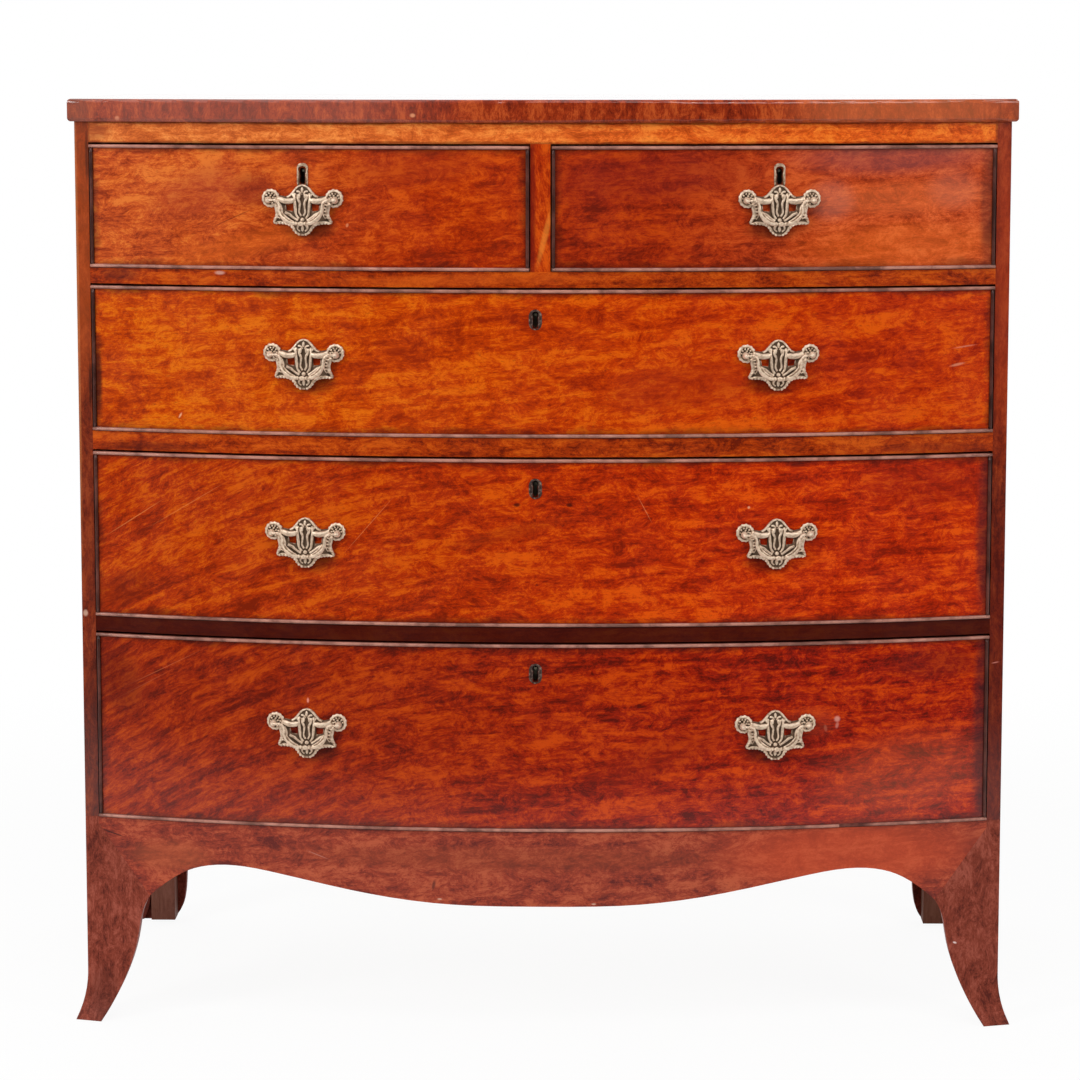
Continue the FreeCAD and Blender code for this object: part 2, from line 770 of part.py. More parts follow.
# name, opening, its span across the width, handle places, lock place, dovetails at each corner
DRAWERS = (
    ("top_left_drawer", "small_drawer", LEFT_X, (-1,), -1, 3),
    ("top_right_drawer", "small_drawer", RIGHT_X, (1,), 1, 3),
    ("second_drawer", "second_drawer", WIDE_X, (-1, 1), 0, 4),
    ("third_drawer", "third_drawer", WIDE_X, (-1, 1), 0, 5),
    ("bottom_drawer", "bottom_drawer", WIDE_X, (-1, 1), 0, 5),
)


def make_drawer(name, opening, span, handle_sides, lock_side, tails):
    low = f"({FLOOR[opening]} + foot_gap)"
    high = f"({HEAD[opening]} - head_gap)"
    x = (f"({span[0]} + drawer_gap)", f"({span[1]} - drawer_gap)")
    back = "drawer_back_y"

    # The bottom slides in grooves in the sides and the front, and passes under the back.
    inset = "(drawer_side - groove)"
    bottom_z = (f"{low} + bottom_rise", f"{low} + bottom_rise + drawer_bottom")
    bottom = bowed(
        f"{name}_bottom",
        (f"{x[0]} + {inset}", f"{x[1]} - {inset}"),
        back,
        bottom_z,
        "bow_radius - front_thickness + groove",
    )
    node(f"{name}_bottom", bottom)

    # Sides with tails at both ends.
    side_high = f"({high} - side_drop)"
    back_low, back_high = f"({bottom_z[1]})", f"({high} - back_drop)"
    sides = []
    for which, outer, inner in (
        ("left", x[0], f"({x[0]} + drawer_side)"),
        ("right", f"({x[1]} - drawer_side)", x[1]),
    ):
        edge = x[0] if which == "left" else x[1]
        start = f"({bow_y(edge)} + lap)"
        blank = block(f"{name}_{which}_blank", (outer, inner), (start, back), (low, side_high))
        gaps = []
        for step in range(tails + 1):
            z = f"({low} + ({side_high} - {low}) * {step} / {tails})"
            deep = f"({start} + lap)"
            gaps.append(wedge(f"{name}_{which}_front_gap_{step}", (outer, inner), (start, deep), z, True))
            z = f"({back_low} + ({back_high} - {back_low}) * {step} / {tails})"
            deep = f"({back} - drawer_back)"
            gaps.append(wedge(f"{name}_{which}_back_gap_{step}", (outer, inner), (deep, back), z, False))
        sides.append(cut(f"{name}_{which}_side", blank, bottom, *gaps))
    back_blank = block(f"{name}_back_blank", x, (f"{back} - drawer_back", back), (back_low, back_high))
    back_board = cut(f"{name}_back", back_blank, *sides)
    node(f"{name}_box", group(f"{name}_box", *sides, back_board))

    # Four cock beads round the face, each with a rounded nose.
    beads = make_beads(name, x, (low, high))
    node(f"{name}_cock_beads", group(f"{name}_cock_beads", *beads))

    # Lock: case and bolt; the front is mortised for the case and bored for the key.
    lock_x = lock_side * dim("handle_x") if lock_side else dim("lock_x")
    head = dim(opening + "_low") + dim(opening + "_opening")
    key_z = head - dim("keyhole_drop")
    case, bolt, room, mortise = lock_parts()
    node(f"{name}_lock_case", seat(lock_x, key_z, made(f"{name}_lock_case", case)))
    node(f"{name}_lock_bolt", seat(lock_x, key_z, made(f"{name}_lock_bolt", bolt)))
    key_way = keyhole(-CLEAR, dim("front_thickness") - dim("lock_depth"))
    oval_seat = long_oval(-CLEAR, dim("escutcheon_inset"))
    lock_room = room.fuse([key_way] if lock_side else [key_way, oval_seat])
    cutters = [seat(lock_x, key_z, made(f"{name}_lock_room", lock_room))]

    # Brasswork: back plates, posts with their nuts, and a wide drawer's escutcheon.
    brass = [] if lock_side else [seat(lock_x, key_z, made(f"{name}_escutcheon", escutcheon()))]
    middle = dim(opening + "_low") + dim(opening + "_opening") / 2
    handle_z = middle - dim("bottom_handle_drop" if opening == "bottom_drawer" else "handle_drop")
    key_rise = key_z - handle_z if lock_side else 0
    for side in handle_sides:
        hand = "left" if side < 0 else "right"
        spot = side * dim("handle_x")
        brass.append(seat(spot, handle_z, made(f"{name}_{hand}_plate", handle_plate(key_rise))))
        for end in (-1, 1):
            post, nut = handle_post(end)
            brass.append(seat(spot, handle_z, made(f"{name}_{hand}_post", post)))
            brass.append(seat(spot, handle_z, made(f"{name}_{hand}_nut", nut)))
            hole_x, hole_y = end * dim("post_spacing") / 2, dim("front_thickness") + CLEAR
            hole = along_y(dim("post_shank"), hole_x, dim("post_rise"), -CLEAR, hole_y)
            cutters.append(seat(spot, handle_z, made(f"{name}_{hand}_hole", hole)))
        bail_name = f"{name}_bail" if len(handle_sides) == 1 else f"{name}_{hand}_bail"
        node(bail_name, seat(spot, handle_z, made(bail_name, bail_shape())))
    node(f"{name}_brasswork", group(f"{name}_brasswork", *brass))

    # The front itself, bent to the bow and cut for everything that meets it.
    inner_face = "bow_radius - front_thickness"
    blank = bowed(f"{name}_front_blank", x, back, (low, high), "bow_radius", inner_face)
    front = cut(f"{name}_front_jointed", blank, bottom, *sides)
    front = cut(f"{name}_front_beaded", front, *beads)
    node(f"{name}_front", cut(f"{name}_front", front, fuse(f"{name}_front_holes", *cutters)))
    return seat(lock_x, key_z, made(f"{name}_bolt_mortise", mortise))


def wedge(name, x, y, z, narrow_first):
    """Room for a dovetail pin, narrow at the end of the board and wide at its root."""
    near, far = ("pin_narrow / 2", "pin_wide / 2") if narrow_first else ("pin_wide / 2", "pin_narrow / 2")
    gap = doc.addObject("Part::Wedge", name)
    for prop, text in (
        ("Xmin", x[0]),
        ("Xmax", x[1]),
        ("X2min", x[0]),
        ("X2max", x[1]),
        ("Ymin", y[0]),
        ("Ymax", y[1]),
        ("Zmin", f"{z} - {near}"),
        ("Zmax", f"{z} + {near}"),
        ("Z2min", f"{z} - {far}"),
        ("Z2max", f"{z} + {far}"),
    ):
        bind(gap, prop, text)
    return gap


def make_beads(name, x, z):
    """Top, bottom and end beads: square strips let into the front's edge, with a half-round nose."""
    nose = "bow_radius + bead_proud - bead / 2"
    root = "bow_radius - bead_depth"
    beads = []
    for where, z_span in (("top", (f"{z[1]} - bead", z[1])), ("bottom", (z[0], f"{z[0]} + bead"))):
        label = f"{name}_{where}_bead"
        strip = bowed(label + "_strip", x, "rail_back_y", z_span, nose, root)
        ring = doc.addObject("Part::Torus", label + "_ring")
        bind(ring, "Radius1", nose)
        bind(ring, "Radius2", "bead / 2")
        place(ring, "0", "bow_centre_y", f"{z_span[0]} + bead / 2")
        reach = (bow_y("0", "bow_radius + bead_proud") + " - 1", "rail_back_y")
        round_nose = common(label + "_nose", block(label + "_reach", x, reach, z_span), ring)
        beads.append(fuse(label, strip, round_nose))
    for where, x_span, edge in (
        ("left", (x[0], f"{x[0]} + bead"), x[0]),
        ("right", (f"{x[1]} - bead", x[1]), x[1]),
    ):
        label = f"{name}_{where}_bead"
        z_span = (f"{z[0]} + bead", f"{z[1]} - bead")
        middle = f"({x_span[0]} + bead / 2)"
        nose_y = f"({bow_y(middle)} - bead_proud + bead / 2)"
        strip = block(label + "_strip", x_span, (nose_y, f"{bow_y(edge)} + bead_depth"), z_span)
        rod = doc.addObject("Part::Cylinder", label + "_nose")
        bind(rod, "Radius", "bead / 2")
        bind(rod, "Height", f"({z_span[1]}) - ({z_span[0]})")
        place(rod, middle, nose_y, z_span[0])
        beads.append(fuse(label, strip, rod))
    return beads


# ---------------------------------------------------------------- put together, check and write

mortises = {drawer[0]: make_drawer(*drawer) for drawer in DRAWERS}
make_top()
make_rails(mortises)
make_divider()
make_runners()
make_sides(make_dust_boards(), make_base_and_back())
make_stops()
make_apron()
make_front_feet()
make_rear_feet()
make_foot_blocks()
doc.recompute()

for thing in doc.Objects:
    faults = {"Invalid", "Error"} & set(thing.State)
    if faults:
        raise RuntimeError(f"{thing.Label} did not build: {thing.State}")
for name, thing in NODES.items():
    if thing.Shape.isNull() or not thing.Shape.isValid() or not thing.Shape.Solids:
        raise RuntimeError(f"{name} has no sound shape")

os.makedirs("parts", exist_ok=True)
for name, thing in NODES.items():
    thing.Shape.exportStep(f"parts/{name}.step")
    print(f"{name}: {len(thing.Shape.Solids)} solids, {thing.Shape.Volume / 1000:.1f} cm3")
print(len(NODES), "nodes")
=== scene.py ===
# %% [markdown]
# # Dressing a bow front chest of drawers
#
# The chest comes as a finished construction model: sixty sub-parts in metres, each in its place. This
# lesson gives it a camera, soft light, old polished mahogany, dark cock beads and cast brass handles.
# The model itself is only read. Each new piece is set where the model says and rides on the body that
# carries it, so the drawers, the handles and the lock bolts still move.

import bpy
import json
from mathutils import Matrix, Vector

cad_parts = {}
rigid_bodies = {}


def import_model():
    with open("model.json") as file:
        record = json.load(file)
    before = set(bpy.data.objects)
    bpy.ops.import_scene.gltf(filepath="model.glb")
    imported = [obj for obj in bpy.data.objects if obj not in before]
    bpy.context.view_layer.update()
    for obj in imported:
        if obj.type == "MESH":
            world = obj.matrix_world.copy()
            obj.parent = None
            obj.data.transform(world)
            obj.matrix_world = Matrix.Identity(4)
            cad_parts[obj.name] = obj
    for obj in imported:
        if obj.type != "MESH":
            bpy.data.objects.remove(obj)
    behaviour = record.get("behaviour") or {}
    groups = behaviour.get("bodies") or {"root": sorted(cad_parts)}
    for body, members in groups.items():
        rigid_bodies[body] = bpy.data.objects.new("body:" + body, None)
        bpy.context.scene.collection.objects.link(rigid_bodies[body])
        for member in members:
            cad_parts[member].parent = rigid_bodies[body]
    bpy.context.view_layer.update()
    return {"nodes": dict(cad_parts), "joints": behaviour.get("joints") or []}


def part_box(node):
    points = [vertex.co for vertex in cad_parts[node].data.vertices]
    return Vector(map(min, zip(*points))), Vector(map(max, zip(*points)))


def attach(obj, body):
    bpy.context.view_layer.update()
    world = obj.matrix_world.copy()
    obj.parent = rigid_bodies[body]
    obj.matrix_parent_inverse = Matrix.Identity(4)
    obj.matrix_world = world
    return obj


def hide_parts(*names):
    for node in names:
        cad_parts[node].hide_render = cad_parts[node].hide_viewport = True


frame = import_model()

# %% [markdown]
# ## The camera
#
# The chest is seen from a little above its top, from about four metres. A long lens keeps the upright
# edges nearly upright. The camera looks slightly down, and a small shift of the lens centres the chest
# without tilting it further.

# %% The camera
import math

import bpy

MM = 0.001
CAMERA_SPOT = (0.075, -3.9915, 1.096)
LOOKING_DOWN, LOOKING_LEFT = math.radians(7.02), math.radians(1.16)
FILM_WIDTH, LENS, LENS_SHIFT = 36, 113.7, -0.06


def put(piece):
    """Links a new object to the scene."""
    bpy.context.scene.collection.objects.link(piece)
    return piece


camera = put(bpy.data.objects.new("camera", bpy.data.cameras.new("camera")))
camera.location = CAMERA_SPOT
camera.rotation_euler = (math.pi / 2 - LOOKING_DOWN, 0, LOOKING_LEFT)
camera.data.sensor_width = FILM_WIDTH
camera.data.lens = LENS
camera.data.shift_y = LENS_SHIFT
bpy.context.scene.camera = camera
bpy.context.scene.view_settings.view_transform = "Standard"
print("the camera stands", -CAMERA_SPOT[1], "m in front and", CAMERA_SPOT[2], "m up")

# %% [markdown]
# ## Shader nodes in few words
#
# A finish is built from many small nodes. Written out one by one they would hide the idea, so the next
# two cells make short words for the ones that wood and metal need. The first words work on values and
# places. Every finish reads the Object coordinates. For the construction model these are metres in the
# chest's own frame, so a grain can be given its real length, and a knot or a scratch its real place.

# %% Words for values and places


class Nodes:
    """A tree of shader nodes, with one short word for each kind that is used."""

    def __init__(self, owner):
        owner.use_nodes = True
        self.tree = owner.node_tree
        self.tree.nodes.clear()
        self.place = self.node("ShaderNodeTexCoord").outputs["Object"]

    def node(self, kind, inputs=(), **settings):
        """Makes a node; each of its inputs is another node's socket or a plain value."""
        made = self.tree.nodes.new(kind)
        for key, value in settings.items():
            setattr(made, key, value)
        for key, value in dict(inputs).items():
            if isinstance(value, bpy.types.NodeSocket):
                self.tree.links.new(value, made.inputs[key])
            else:
                made.inputs[key].default_value = value
        return made

    def laid(self, size, start=(0, 0, 0), turn=0.0, place=None):
        """Coordinates with size as their unit, counted from a start and turned in the plane of the front."""
        inputs = {
            "Vector": place or self.place,
            "Location": start,
            "Rotation": (0, math.radians(turn), 0),
            "Scale": size,
        }
        return self.node("ShaderNodeMapping", inputs, vector_type="TEXTURE").outputs[0]

    def cloud(self, vector, detail=2.0, rough=0.5, bend=0.0):
        """Soft random values between 0 and 1, most of them near a half."""
        inputs = {"Vector": vector, "Scale": 1.0, "Detail": detail, "Roughness": rough, "Distortion": bend}
        return self.node("ShaderNodeTexNoise", inputs).outputs[0]

    def patches(self, size, start=(0, 0, 0), detail=2.0, rough=0.5, bend=0.0):
        """A cloud whose patches are about this large in every direction."""
        return self.cloud(self.laid((size, size, size), start), detail, rough, bend)

    def sum(self, first, second, how="ADD"):
        return self.node("ShaderNodeMath", {0: first, 1: second}, operation=how).outputs[0]

    def less(self, first, second):
        return self.sum(first, second, "SUBTRACT")

    def times(self, first, second):
        return self.sum(first, second, "MULTIPLY")

    def swing(self, value, reach):
        """Turns a cloud's values around a half into values around zero, scaled by reach."""
        return self.times(self.less(value, 0.5), reach)

    def spread(self, value, low, high, to_low=0.0, to_high=1.0):
        """Maps the span between low and high onto another span, with soft ends."""
        inputs = {"Value": value, "From Min": low, "From Max": high, "To Min": to_low, "To Max": to_high}
        return self.node("ShaderNodeMapRange", inputs, interpolation_type="SMOOTHSTEP").outputs[0]

    def split(self, vector=None):
        """The three parts of a place."""
        return self.node("ShaderNodeSeparateXYZ", {"Vector": vector or self.place}).outputs

    def joined(self, x, y, z=0.0):
        """A place from its three parts."""
        return self.node("ShaderNodeCombineXYZ", {0: x, 1: y, 2: z}).outputs[0]

    def length(self, vector):
        """How far a place is from the start of its coordinates."""
        return self.node("ShaderNodeVectorMath", {0: vector}, operation="LENGTH").outputs["Value"]

    def over(self, amount, below, above):
        """Lays one colour over another by an amount."""
        return self.node("ShaderNodeMix", {0: amount, 6: below, 7: above}, data_type="RGBA").outputs[2]


print(len([word for word in vars(Nodes) if not word.startswith("_")]), "words for values and places")

# %% [markdown]
# ## Colours and surfaces
#
# Colours are written as on a colour chart, as red, green and blue in hexadecimal. Nodes calculate with
# amounts of light instead, so each code is turned into those. A finish ends in one surface shader, which
# takes the colour, the gloss and the relief.

# %% Words for a finish


def shade(code):
    """The amounts of light that nodes use for the colour with this code."""
    parts = [int(code[place : place + 2], 16) / 255 for place in (0, 2, 4)]
    lights = [part / 12.92 if part <= 0.04045 else ((part + 0.055) / 1.055) ** 2.4 for part in parts]
    return (*lights, 1)


class Finish(Nodes):
    """A material, with the words for its colours and its surface."""

    def __init__(self, name):
        self.material = bpy.data.materials.new(name)
        super().__init__(self.material)

    def tones(self, value, places, codes):
        """A colour ramp: the colours of these codes at these places on the value's scale."""
        made = self.node("ShaderNodeValToRGB", {"Fac": value})
        ramp = made.color_ramp
        for place in places[2:]:
            ramp.elements.new(place)
        for element, place, code in zip(ramp.elements, places, codes):
            element.position = place
            element.color = shade(code)
        return made.outputs[0]

    def raised(self, height, depth, strength=1.0, under=None):
        """Turns a height into relief; depth is how deep it goes, in metres."""
        inputs = {"Height": height, "Distance": depth, "Strength": strength}
        if under:
            inputs["Normal"] = under
        return self.node("ShaderNodeBump", inputs).outputs[0]

    def done(self, **inputs):
        """Ends the finish with the surface shader."""
        inputs = {key.replace("_", " "): value for key, value in inputs.items()}
        surface = self.node("ShaderNodeBsdfPrincipled", inputs)
        self.node("ShaderNodeOutputMaterial", {"Surface": surface.outputs[0]})
        return self.material


print(len([word for word in vars(Finish) if not word.startswith("_")]), "words for colours and surfaces")

# %% [markdown]
# ## Floor, backdrop and light
#
# The chest stands on a white floor that runs into a white backdrop. As the furniture is polished, the
# room on the camera's side is kept dark. That matters more than it seems: a polished front acts like a
# faint mirror, and what it mirrors is the room in front of it. Two tall soft lamps stand to
# the left and right, and a third hangs above. Together they light a pale surface to about its own colour,
# no more.
#
# The floor is part paper, which takes the chest's shadow, and part glow, which keeps it white to the eye.
# The glow's share grows away from the chest, so that no horizon shows.

# %% The floor
import bmesh

FLOOR_RADIUS, FLOOR_SIDES = 7.0, 96
FLOOR_DROP = 0.0004
# The floor is white to a mirror from the first of these depths on, and as dark as the room at the second.
WHITE_REACH = (-1.15, -1.75)
# The share of glow near the chest, and between which distances from its middle it grows to the whole.
GLOW_NEAR, ALL_GLOW = 0.93, (0.8, 2.2)
# How much black tones the paper down.
PAPER_GREY = 0.12
ROOM_TONE, WHITE, BLACK = (0.07, 0.07, 0.07, 1), (1, 1, 1, 1), (0, 0, 0, 1)


def floor_paper():
    """Paper and glow; only the eye and mirrors see the glow, so it lights nothing."""
    finish = Finish("floor_paper")
    rays = finish.node("ShaderNodeLightPath").outputs
    seen = rays["Is Camera Ray"]
    whiteness = finish.spread(finish.split()[1], WHITE_REACH[1], WHITE_REACH[0])
    tone = finish.over(finish.sum(whiteness, seen, "MAXIMUM"), ROOM_TONE, WHITE)
    paper = finish.node("ShaderNodeBsdfDiffuse", {"Color": finish.over(PAPER_GREY, tone, BLACK)})
    glow = finish.node("ShaderNodeEmission", {"Color": tone, "Strength": 1.0})
    for ray in ("Is Glossy Ray", "Is Transmission Ray"):
        seen = finish.sum(seen, rays[ray], "MAXIMUM")
    share = finish.times(seen, finish.spread(finish.length(finish.place), *ALL_GLOW, GLOW_NEAR, 1.0))
    mixed = finish.node("ShaderNodeMixShader", {0: share, 1: paper.outputs[0], 2: glow.outputs[0]})
    finish.node("ShaderNodeOutputMaterial", {"Surface": mixed.outputs[0]})
    return finish.material


def make_floor():
    build = bmesh.new()
    bmesh.ops.create_circle(build, cap_ends=True, segments=FLOOR_SIDES, radius=FLOOR_RADIUS)
    mesh = bpy.data.meshes.new("floor")
    build.to_mesh(mesh)
    build.free()
    mesh.materials.append(floor_paper())
    floor = put(bpy.data.objects.new("floor", mesh))
    floor.location.z = -FLOOR_DROP


make_floor()
print("the floor is", 2 * FLOOR_RADIUS, "m across")

# %% [markdown]
# ## The room and the lamps
#
# The world is a sphere of light around the scene. Its Generated coordinates give the direction, so one
# smooth step along Y makes it white behind the chest and dark in front. The camera itself sees white all
# round. The lamps are rectangles, as soft boxes are: their size decides how soft a shadow's edge is.

# %% The room and the lamps
from mathutils import Vector

# The step from dark to white, as a share of the way from straight sideways to straight back.
ROOM_STEP = 0.35
MIDDLE = (0, 0, 0.55)
# Each lamp: its name, its place, its width and height in metres, and its power in watts.
LAMPS = (
    ("lamp_left", (-2.9, -2.6, 2.2), 0.9, 1.3, 78),
    ("lamp_right", (2.9, -2.5, 1.9), 1.0, 1.6, 44),
    ("lamp_above", (0.0, -1.9, 3.0), 1.8, 1.0, 40),
)


def make_room():
    """White behind the chest and to the camera, dark on the camera's side for everything else."""
    world = bpy.data.worlds.new("room")
    bpy.context.scene.world = world
    room = Nodes(world)
    direction = room.node("ShaderNodeTexCoord").outputs["Generated"]
    behind = room.spread(room.split(direction)[1], -ROOM_STEP, ROOM_STEP)
    seen = room.node("ShaderNodeLightPath").outputs["Is Camera Ray"]
    tone = room.over(room.sum(behind, seen, "MAXIMUM"), ROOM_TONE, WHITE)
    light = room.node("ShaderNodeBackground", {"Color": tone})
    room.node("ShaderNodeOutputWorld", {"Surface": light.outputs[0]})


def hang_lamp(name, spot, width, height, watts):
    """A soft box: a rectangle of even light turned towards the middle of the chest."""
    data = bpy.data.lights.new(name, "AREA")
    data.shape = "RECTANGLE"
    data.size, data.size_y, data.energy = width, height, watts
    lamp = put(bpy.data.objects.new(name, data))
    lamp.location = spot
    lamp.rotation_euler = (Vector(MIDDLE) - Vector(spot)).to_track_quat("-Z", "Y").to_euler()
    lamp.visible_camera = False


make_room()
for lamp in LAMPS:
    hang_lamp(*lamp)
print(len(LAMPS), "lamps of", sum(lamp[-1] for lamp in LAMPS), "watts together")

# %% [markdown]
# ## Mahogany
#
# Polished mahogany is orange to red brown. Its figure is made of layers: broad bands of tone, streaks a
# hand long, a fine mottle that is hardly longer than it is wide, and short dark dashes where the pores
# lie open. Each layer is soft noise stretched along the grain. An image of wood would repeat and blur
# close up; noise in real millimetres doesn't. The boards differ, so one function makes them all from a
# few words: which way the grain runs, how dark and how red it is at each end, and how far it sweeps.

# %% Grain
# For each layer of the figure: its length along the grain and its width in metres, its detail, its
# roughness, how much it bends, and its share.
BAND = (0.36, 0.045, 3, 0.6, 0.8, 0.80)
STREAK = (0.15, 0.010, 4, 0.75, 0.6, 1.15)
MOTTLE = (0.036, 0.018, 5, 0.95, 0.4, 2.8)
# A pore's length and width, and between which of its noise's values it opens.
PORE, PORE_OPENS = (0.006, 0.0011), (0.60, 0.74)
# To the left of this place across the front a sweeping figure drops away, more and more steeply.
SWEEP_FROM = -0.05
GRAIN_DIRECTIONS = {
    "across": lambda along, wide: (along, 1.0, wide),
    "across_lying": lambda along, wide: (along, wide, wide),
    "upright": lambda along, wide: (wide, wide, along),
    "front_to_back": lambda along, wide: (wide, along, wide),
}


def swept(finish, sweep):
    """Places on a board whose figure sweeps down to the left."""
    x, y, z = finish.split()[:3]
    reach = finish.sum(finish.less(SWEEP_FROM, x), 0.0, "MAXIMUM")
    return finish.joined(x, y, finish.sum(z, finish.times(finish.times(reach, reach), sweep)))


def figure(finish, grain, seed, slope=0.0, sweep=0.0, calm=1.0, mottle=1.0):
    """One board's figure as one value, and its pores; calm weakens bands and streaks, mottle the mottle."""
    stretch = GRAIN_DIRECTIONS[grain]
    place = swept(finish, sweep) if sweep else finish.place
    start = (0.37 * seed, 0.53 * seed, 0.71 * seed)
    value = 0.5
    for layer in (BAND, STREAK, MOTTLE):
        along, wide, detail, rough, bend, share = layer
        cloud = finish.cloud(finish.laid(stretch(along, wide), start, slope, place), detail, rough, bend)
        value = finish.sum(finish.swing(cloud, share * (mottle if layer is MOTTLE else calm)), value)
    pores = finish.cloud(finish.laid(stretch(*PORE), start, slope / 2, place), 2)
    return value, finish.spread(pores, *PORE_OPENS)


print("the pores are", PORE[0] / MM, "mm long and", PORE[1] / MM, "mm wide")

# %% [markdown]
# ## Wear on the polish, and painted shade by the beads
#
# Two hundred years leave marks: small knocks show pale, and close to the beads the wood is darker, dark
# polish and painted shade between bead and front together. A darkened rim is a distance to the board's
# edges, taken from the board's own box. A scratch is a stretched ellipse at its real place.

# %% Rims and marks
# How far the border of a rim wanders, in widths of the rim.
RAGGED = 2.4
# Inside this share of its half size a mark has its full strength. In depth a mark goes on for metres.
MARK_CORE, MARK_DEPTH = 0.35, 10.0


def rim(finish, node, width, seed):
    """How near a point is to the edges of a board: 1 at its rim, 0 in its field, with a ragged border."""
    low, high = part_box(node)
    x, _, z = finish.split()[:3]
    near = finish.less(x, low.x)
    for gap in (finish.less(high.x, x), finish.less(z, low.z), finish.less(high.z, z)):
        near = finish.sum(near, gap, "MINIMUM")
    wander = finish.cloud(finish.laid((0.05, 1.0, 0.03), (seed, 0, seed)), 4, 0.65)
    near = finish.sum(near, finish.swing(wander, RAGGED * width))
    return finish.spread(near, 0.2 * width, width, 1.0, 0.0)


def marked(finish, colour, marks):
    """Lays marks over a colour: each is (x, z, length, height, turn in degrees, its colour, how strong)."""
    for x, z, length, height, turn, tint, strength in marks:
        half_size = (length / 2 * MM, MARK_DEPTH, height / 2 * MM)
        far = finish.length(finish.laid(half_size, (x * MM, 0, z * MM), turn))
        colour = finish.over(finish.spread(far, MARK_CORE, 1.0, strength, 0.0), colour, shade(tint))
    return colour


print("a mark fades out over the outer", round(100 * (1 - MARK_CORE)), "percent of its half size")

# %% [markdown]
# ## One board's finish
#
# The layers come together here. The figure picks a tone from a ramp of three colours; a second ramp serves
# the far end of a board that changes along its length. Then come the pores, ink spots and the dark rim,
# each laid over what is below, so that any of them can be made weaker without touching the others.

# %% The colour of a board
# Where the deep, the middle and the bright tone lie on the figure's scale.
TONE_STOPS = (0.12, 0.50, 0.86)
# What lies over the tones: a colour, and how strong it is at most.
# The rim is dark polish and painted shade next to the beads.
PORE_TONE, INK_TONE, RIM_TONE = ("3a0f06", 0.34), ("4a150a", 0.45), ("380e06", 0.55)
# How far in from a board's ends its tones start to change to those of the other end.
END_REACH = 0.1


def rippled(finish, value, strength, seed):
    """Adds faint bars across the grain, in patches."""
    bars = finish.cloud(finish.laid((0.010, 1.0, 0.030), (seed, 0, seed), 6), 3, 0.6, 0.6)
    patch = finish.spread(finish.cloud(finish.laid((0.15, 1.0, 0.08), (2 * seed, 0, 0)), 1), 0.45, 0.65)
    return finish.sum(finish.times(finish.swing(bars, strength), patch), value)


def board_colour(finish, board, value, pores, seed, tones, far_tones, rim_width):
    """The tones of the figure, then pores, ink spots and a rim of dark polish and painted shade laid over
    them.
    """
    colour = finish.tones(value, TONE_STOPS, tones)
    if far_tones:
        low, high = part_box(board)
        across = finish.spread(finish.split()[0], low.x + END_REACH, high.x - END_REACH)
        colour = finish.over(across, colour, finish.tones(value, TONE_STOPS, far_tones))
    colour = finish.over(finish.times(pores, PORE_TONE[1]), colour, shade(PORE_TONE[0]))
    ink = finish.cloud(finish.laid((0.010, 0.010, 0.006), (seed, seed, 0)), 3, 0.7)
    colour = finish.over(finish.spread(ink, 0.66, 0.76, 0.0, INK_TONE[1]), colour, shade(INK_TONE[0]))
    if rim_width:
        dark = finish.times(rim(finish, board, rim_width, seed), RIM_TONE[1])
        colour = finish.over(dark, colour, shade(RIM_TONE[0]))
    return colour


print("the middle tone lies at", TONE_STOPS[1])

# %% [markdown]
# ## Polish
#
# French polish is a clear film on the wood, so the shader has a coat over a rougher ground. A slow,
# shallow relief keeps the reflections from being perfectly flat, and the open pores sink in a little.
# Where hands have worn the film the ground is rougher.

# %% One board's finish


def mahogany(board, tones, far_tones=None, grain="across", seed=1.0, slope=0.0, sweep=0.0, calm=1.0,
             mottle=1.0, ripple=0.0, rim_width=0.0, marks=(), rough=0.34, ior_level=0.10, coat=0.50,
             coat_rough=0.08):
    """Polished mahogany; tones are the deep, middle and bright colour, far_tones those of its right end."""
    finish = Finish(board)
    value, pores = figure(finish, grain, seed, slope, sweep, calm, mottle)
    if ripple:
        value = rippled(finish, value, ripple, seed)
    colour = board_colour(finish, board, value, pores, seed, tones, far_tones, rim_width)
    wear = finish.patches(0.05, (seed, 0, 0), 4, 0.6)
    hollow = finish.cloud(finish.laid((0.07, 0.07, 0.05), (0, seed, 0)), 2)
    relief = finish.raised(pores, -0.06 * MM, 0.6, finish.raised(hollow, 1.2 * MM, 0.35))
    return finish.done(
        Base_Color=marked(finish, colour, marks), Normal=relief, Specular_IOR_Level=ior_level,
        Roughness=finish.spread(wear, 0.3, 0.7, rough - 0.06, rough + 0.10),
        Coat_Weight=coat, Coat_Roughness=coat_rough,
    )


def dress(node, material):
    """Gives a node of the model its finish."""
    mesh = frame["nodes"][node].data
    mesh.materials.clear()
    mesh.materials.append(material)


print("a board's finish has", len(mahogany.__defaults__), "things that can be left as they usually are")

# %% [markdown]
# ## The drawer fronts
#
# Each front is one piece of veneer with its own figure. The upper drawers are the brighter orange, the
# lower ones redder and darker. On the two lowest the figure sweeps up to the right from the lower left,
# as it does where the veneer was cut near a crotch of the tree.

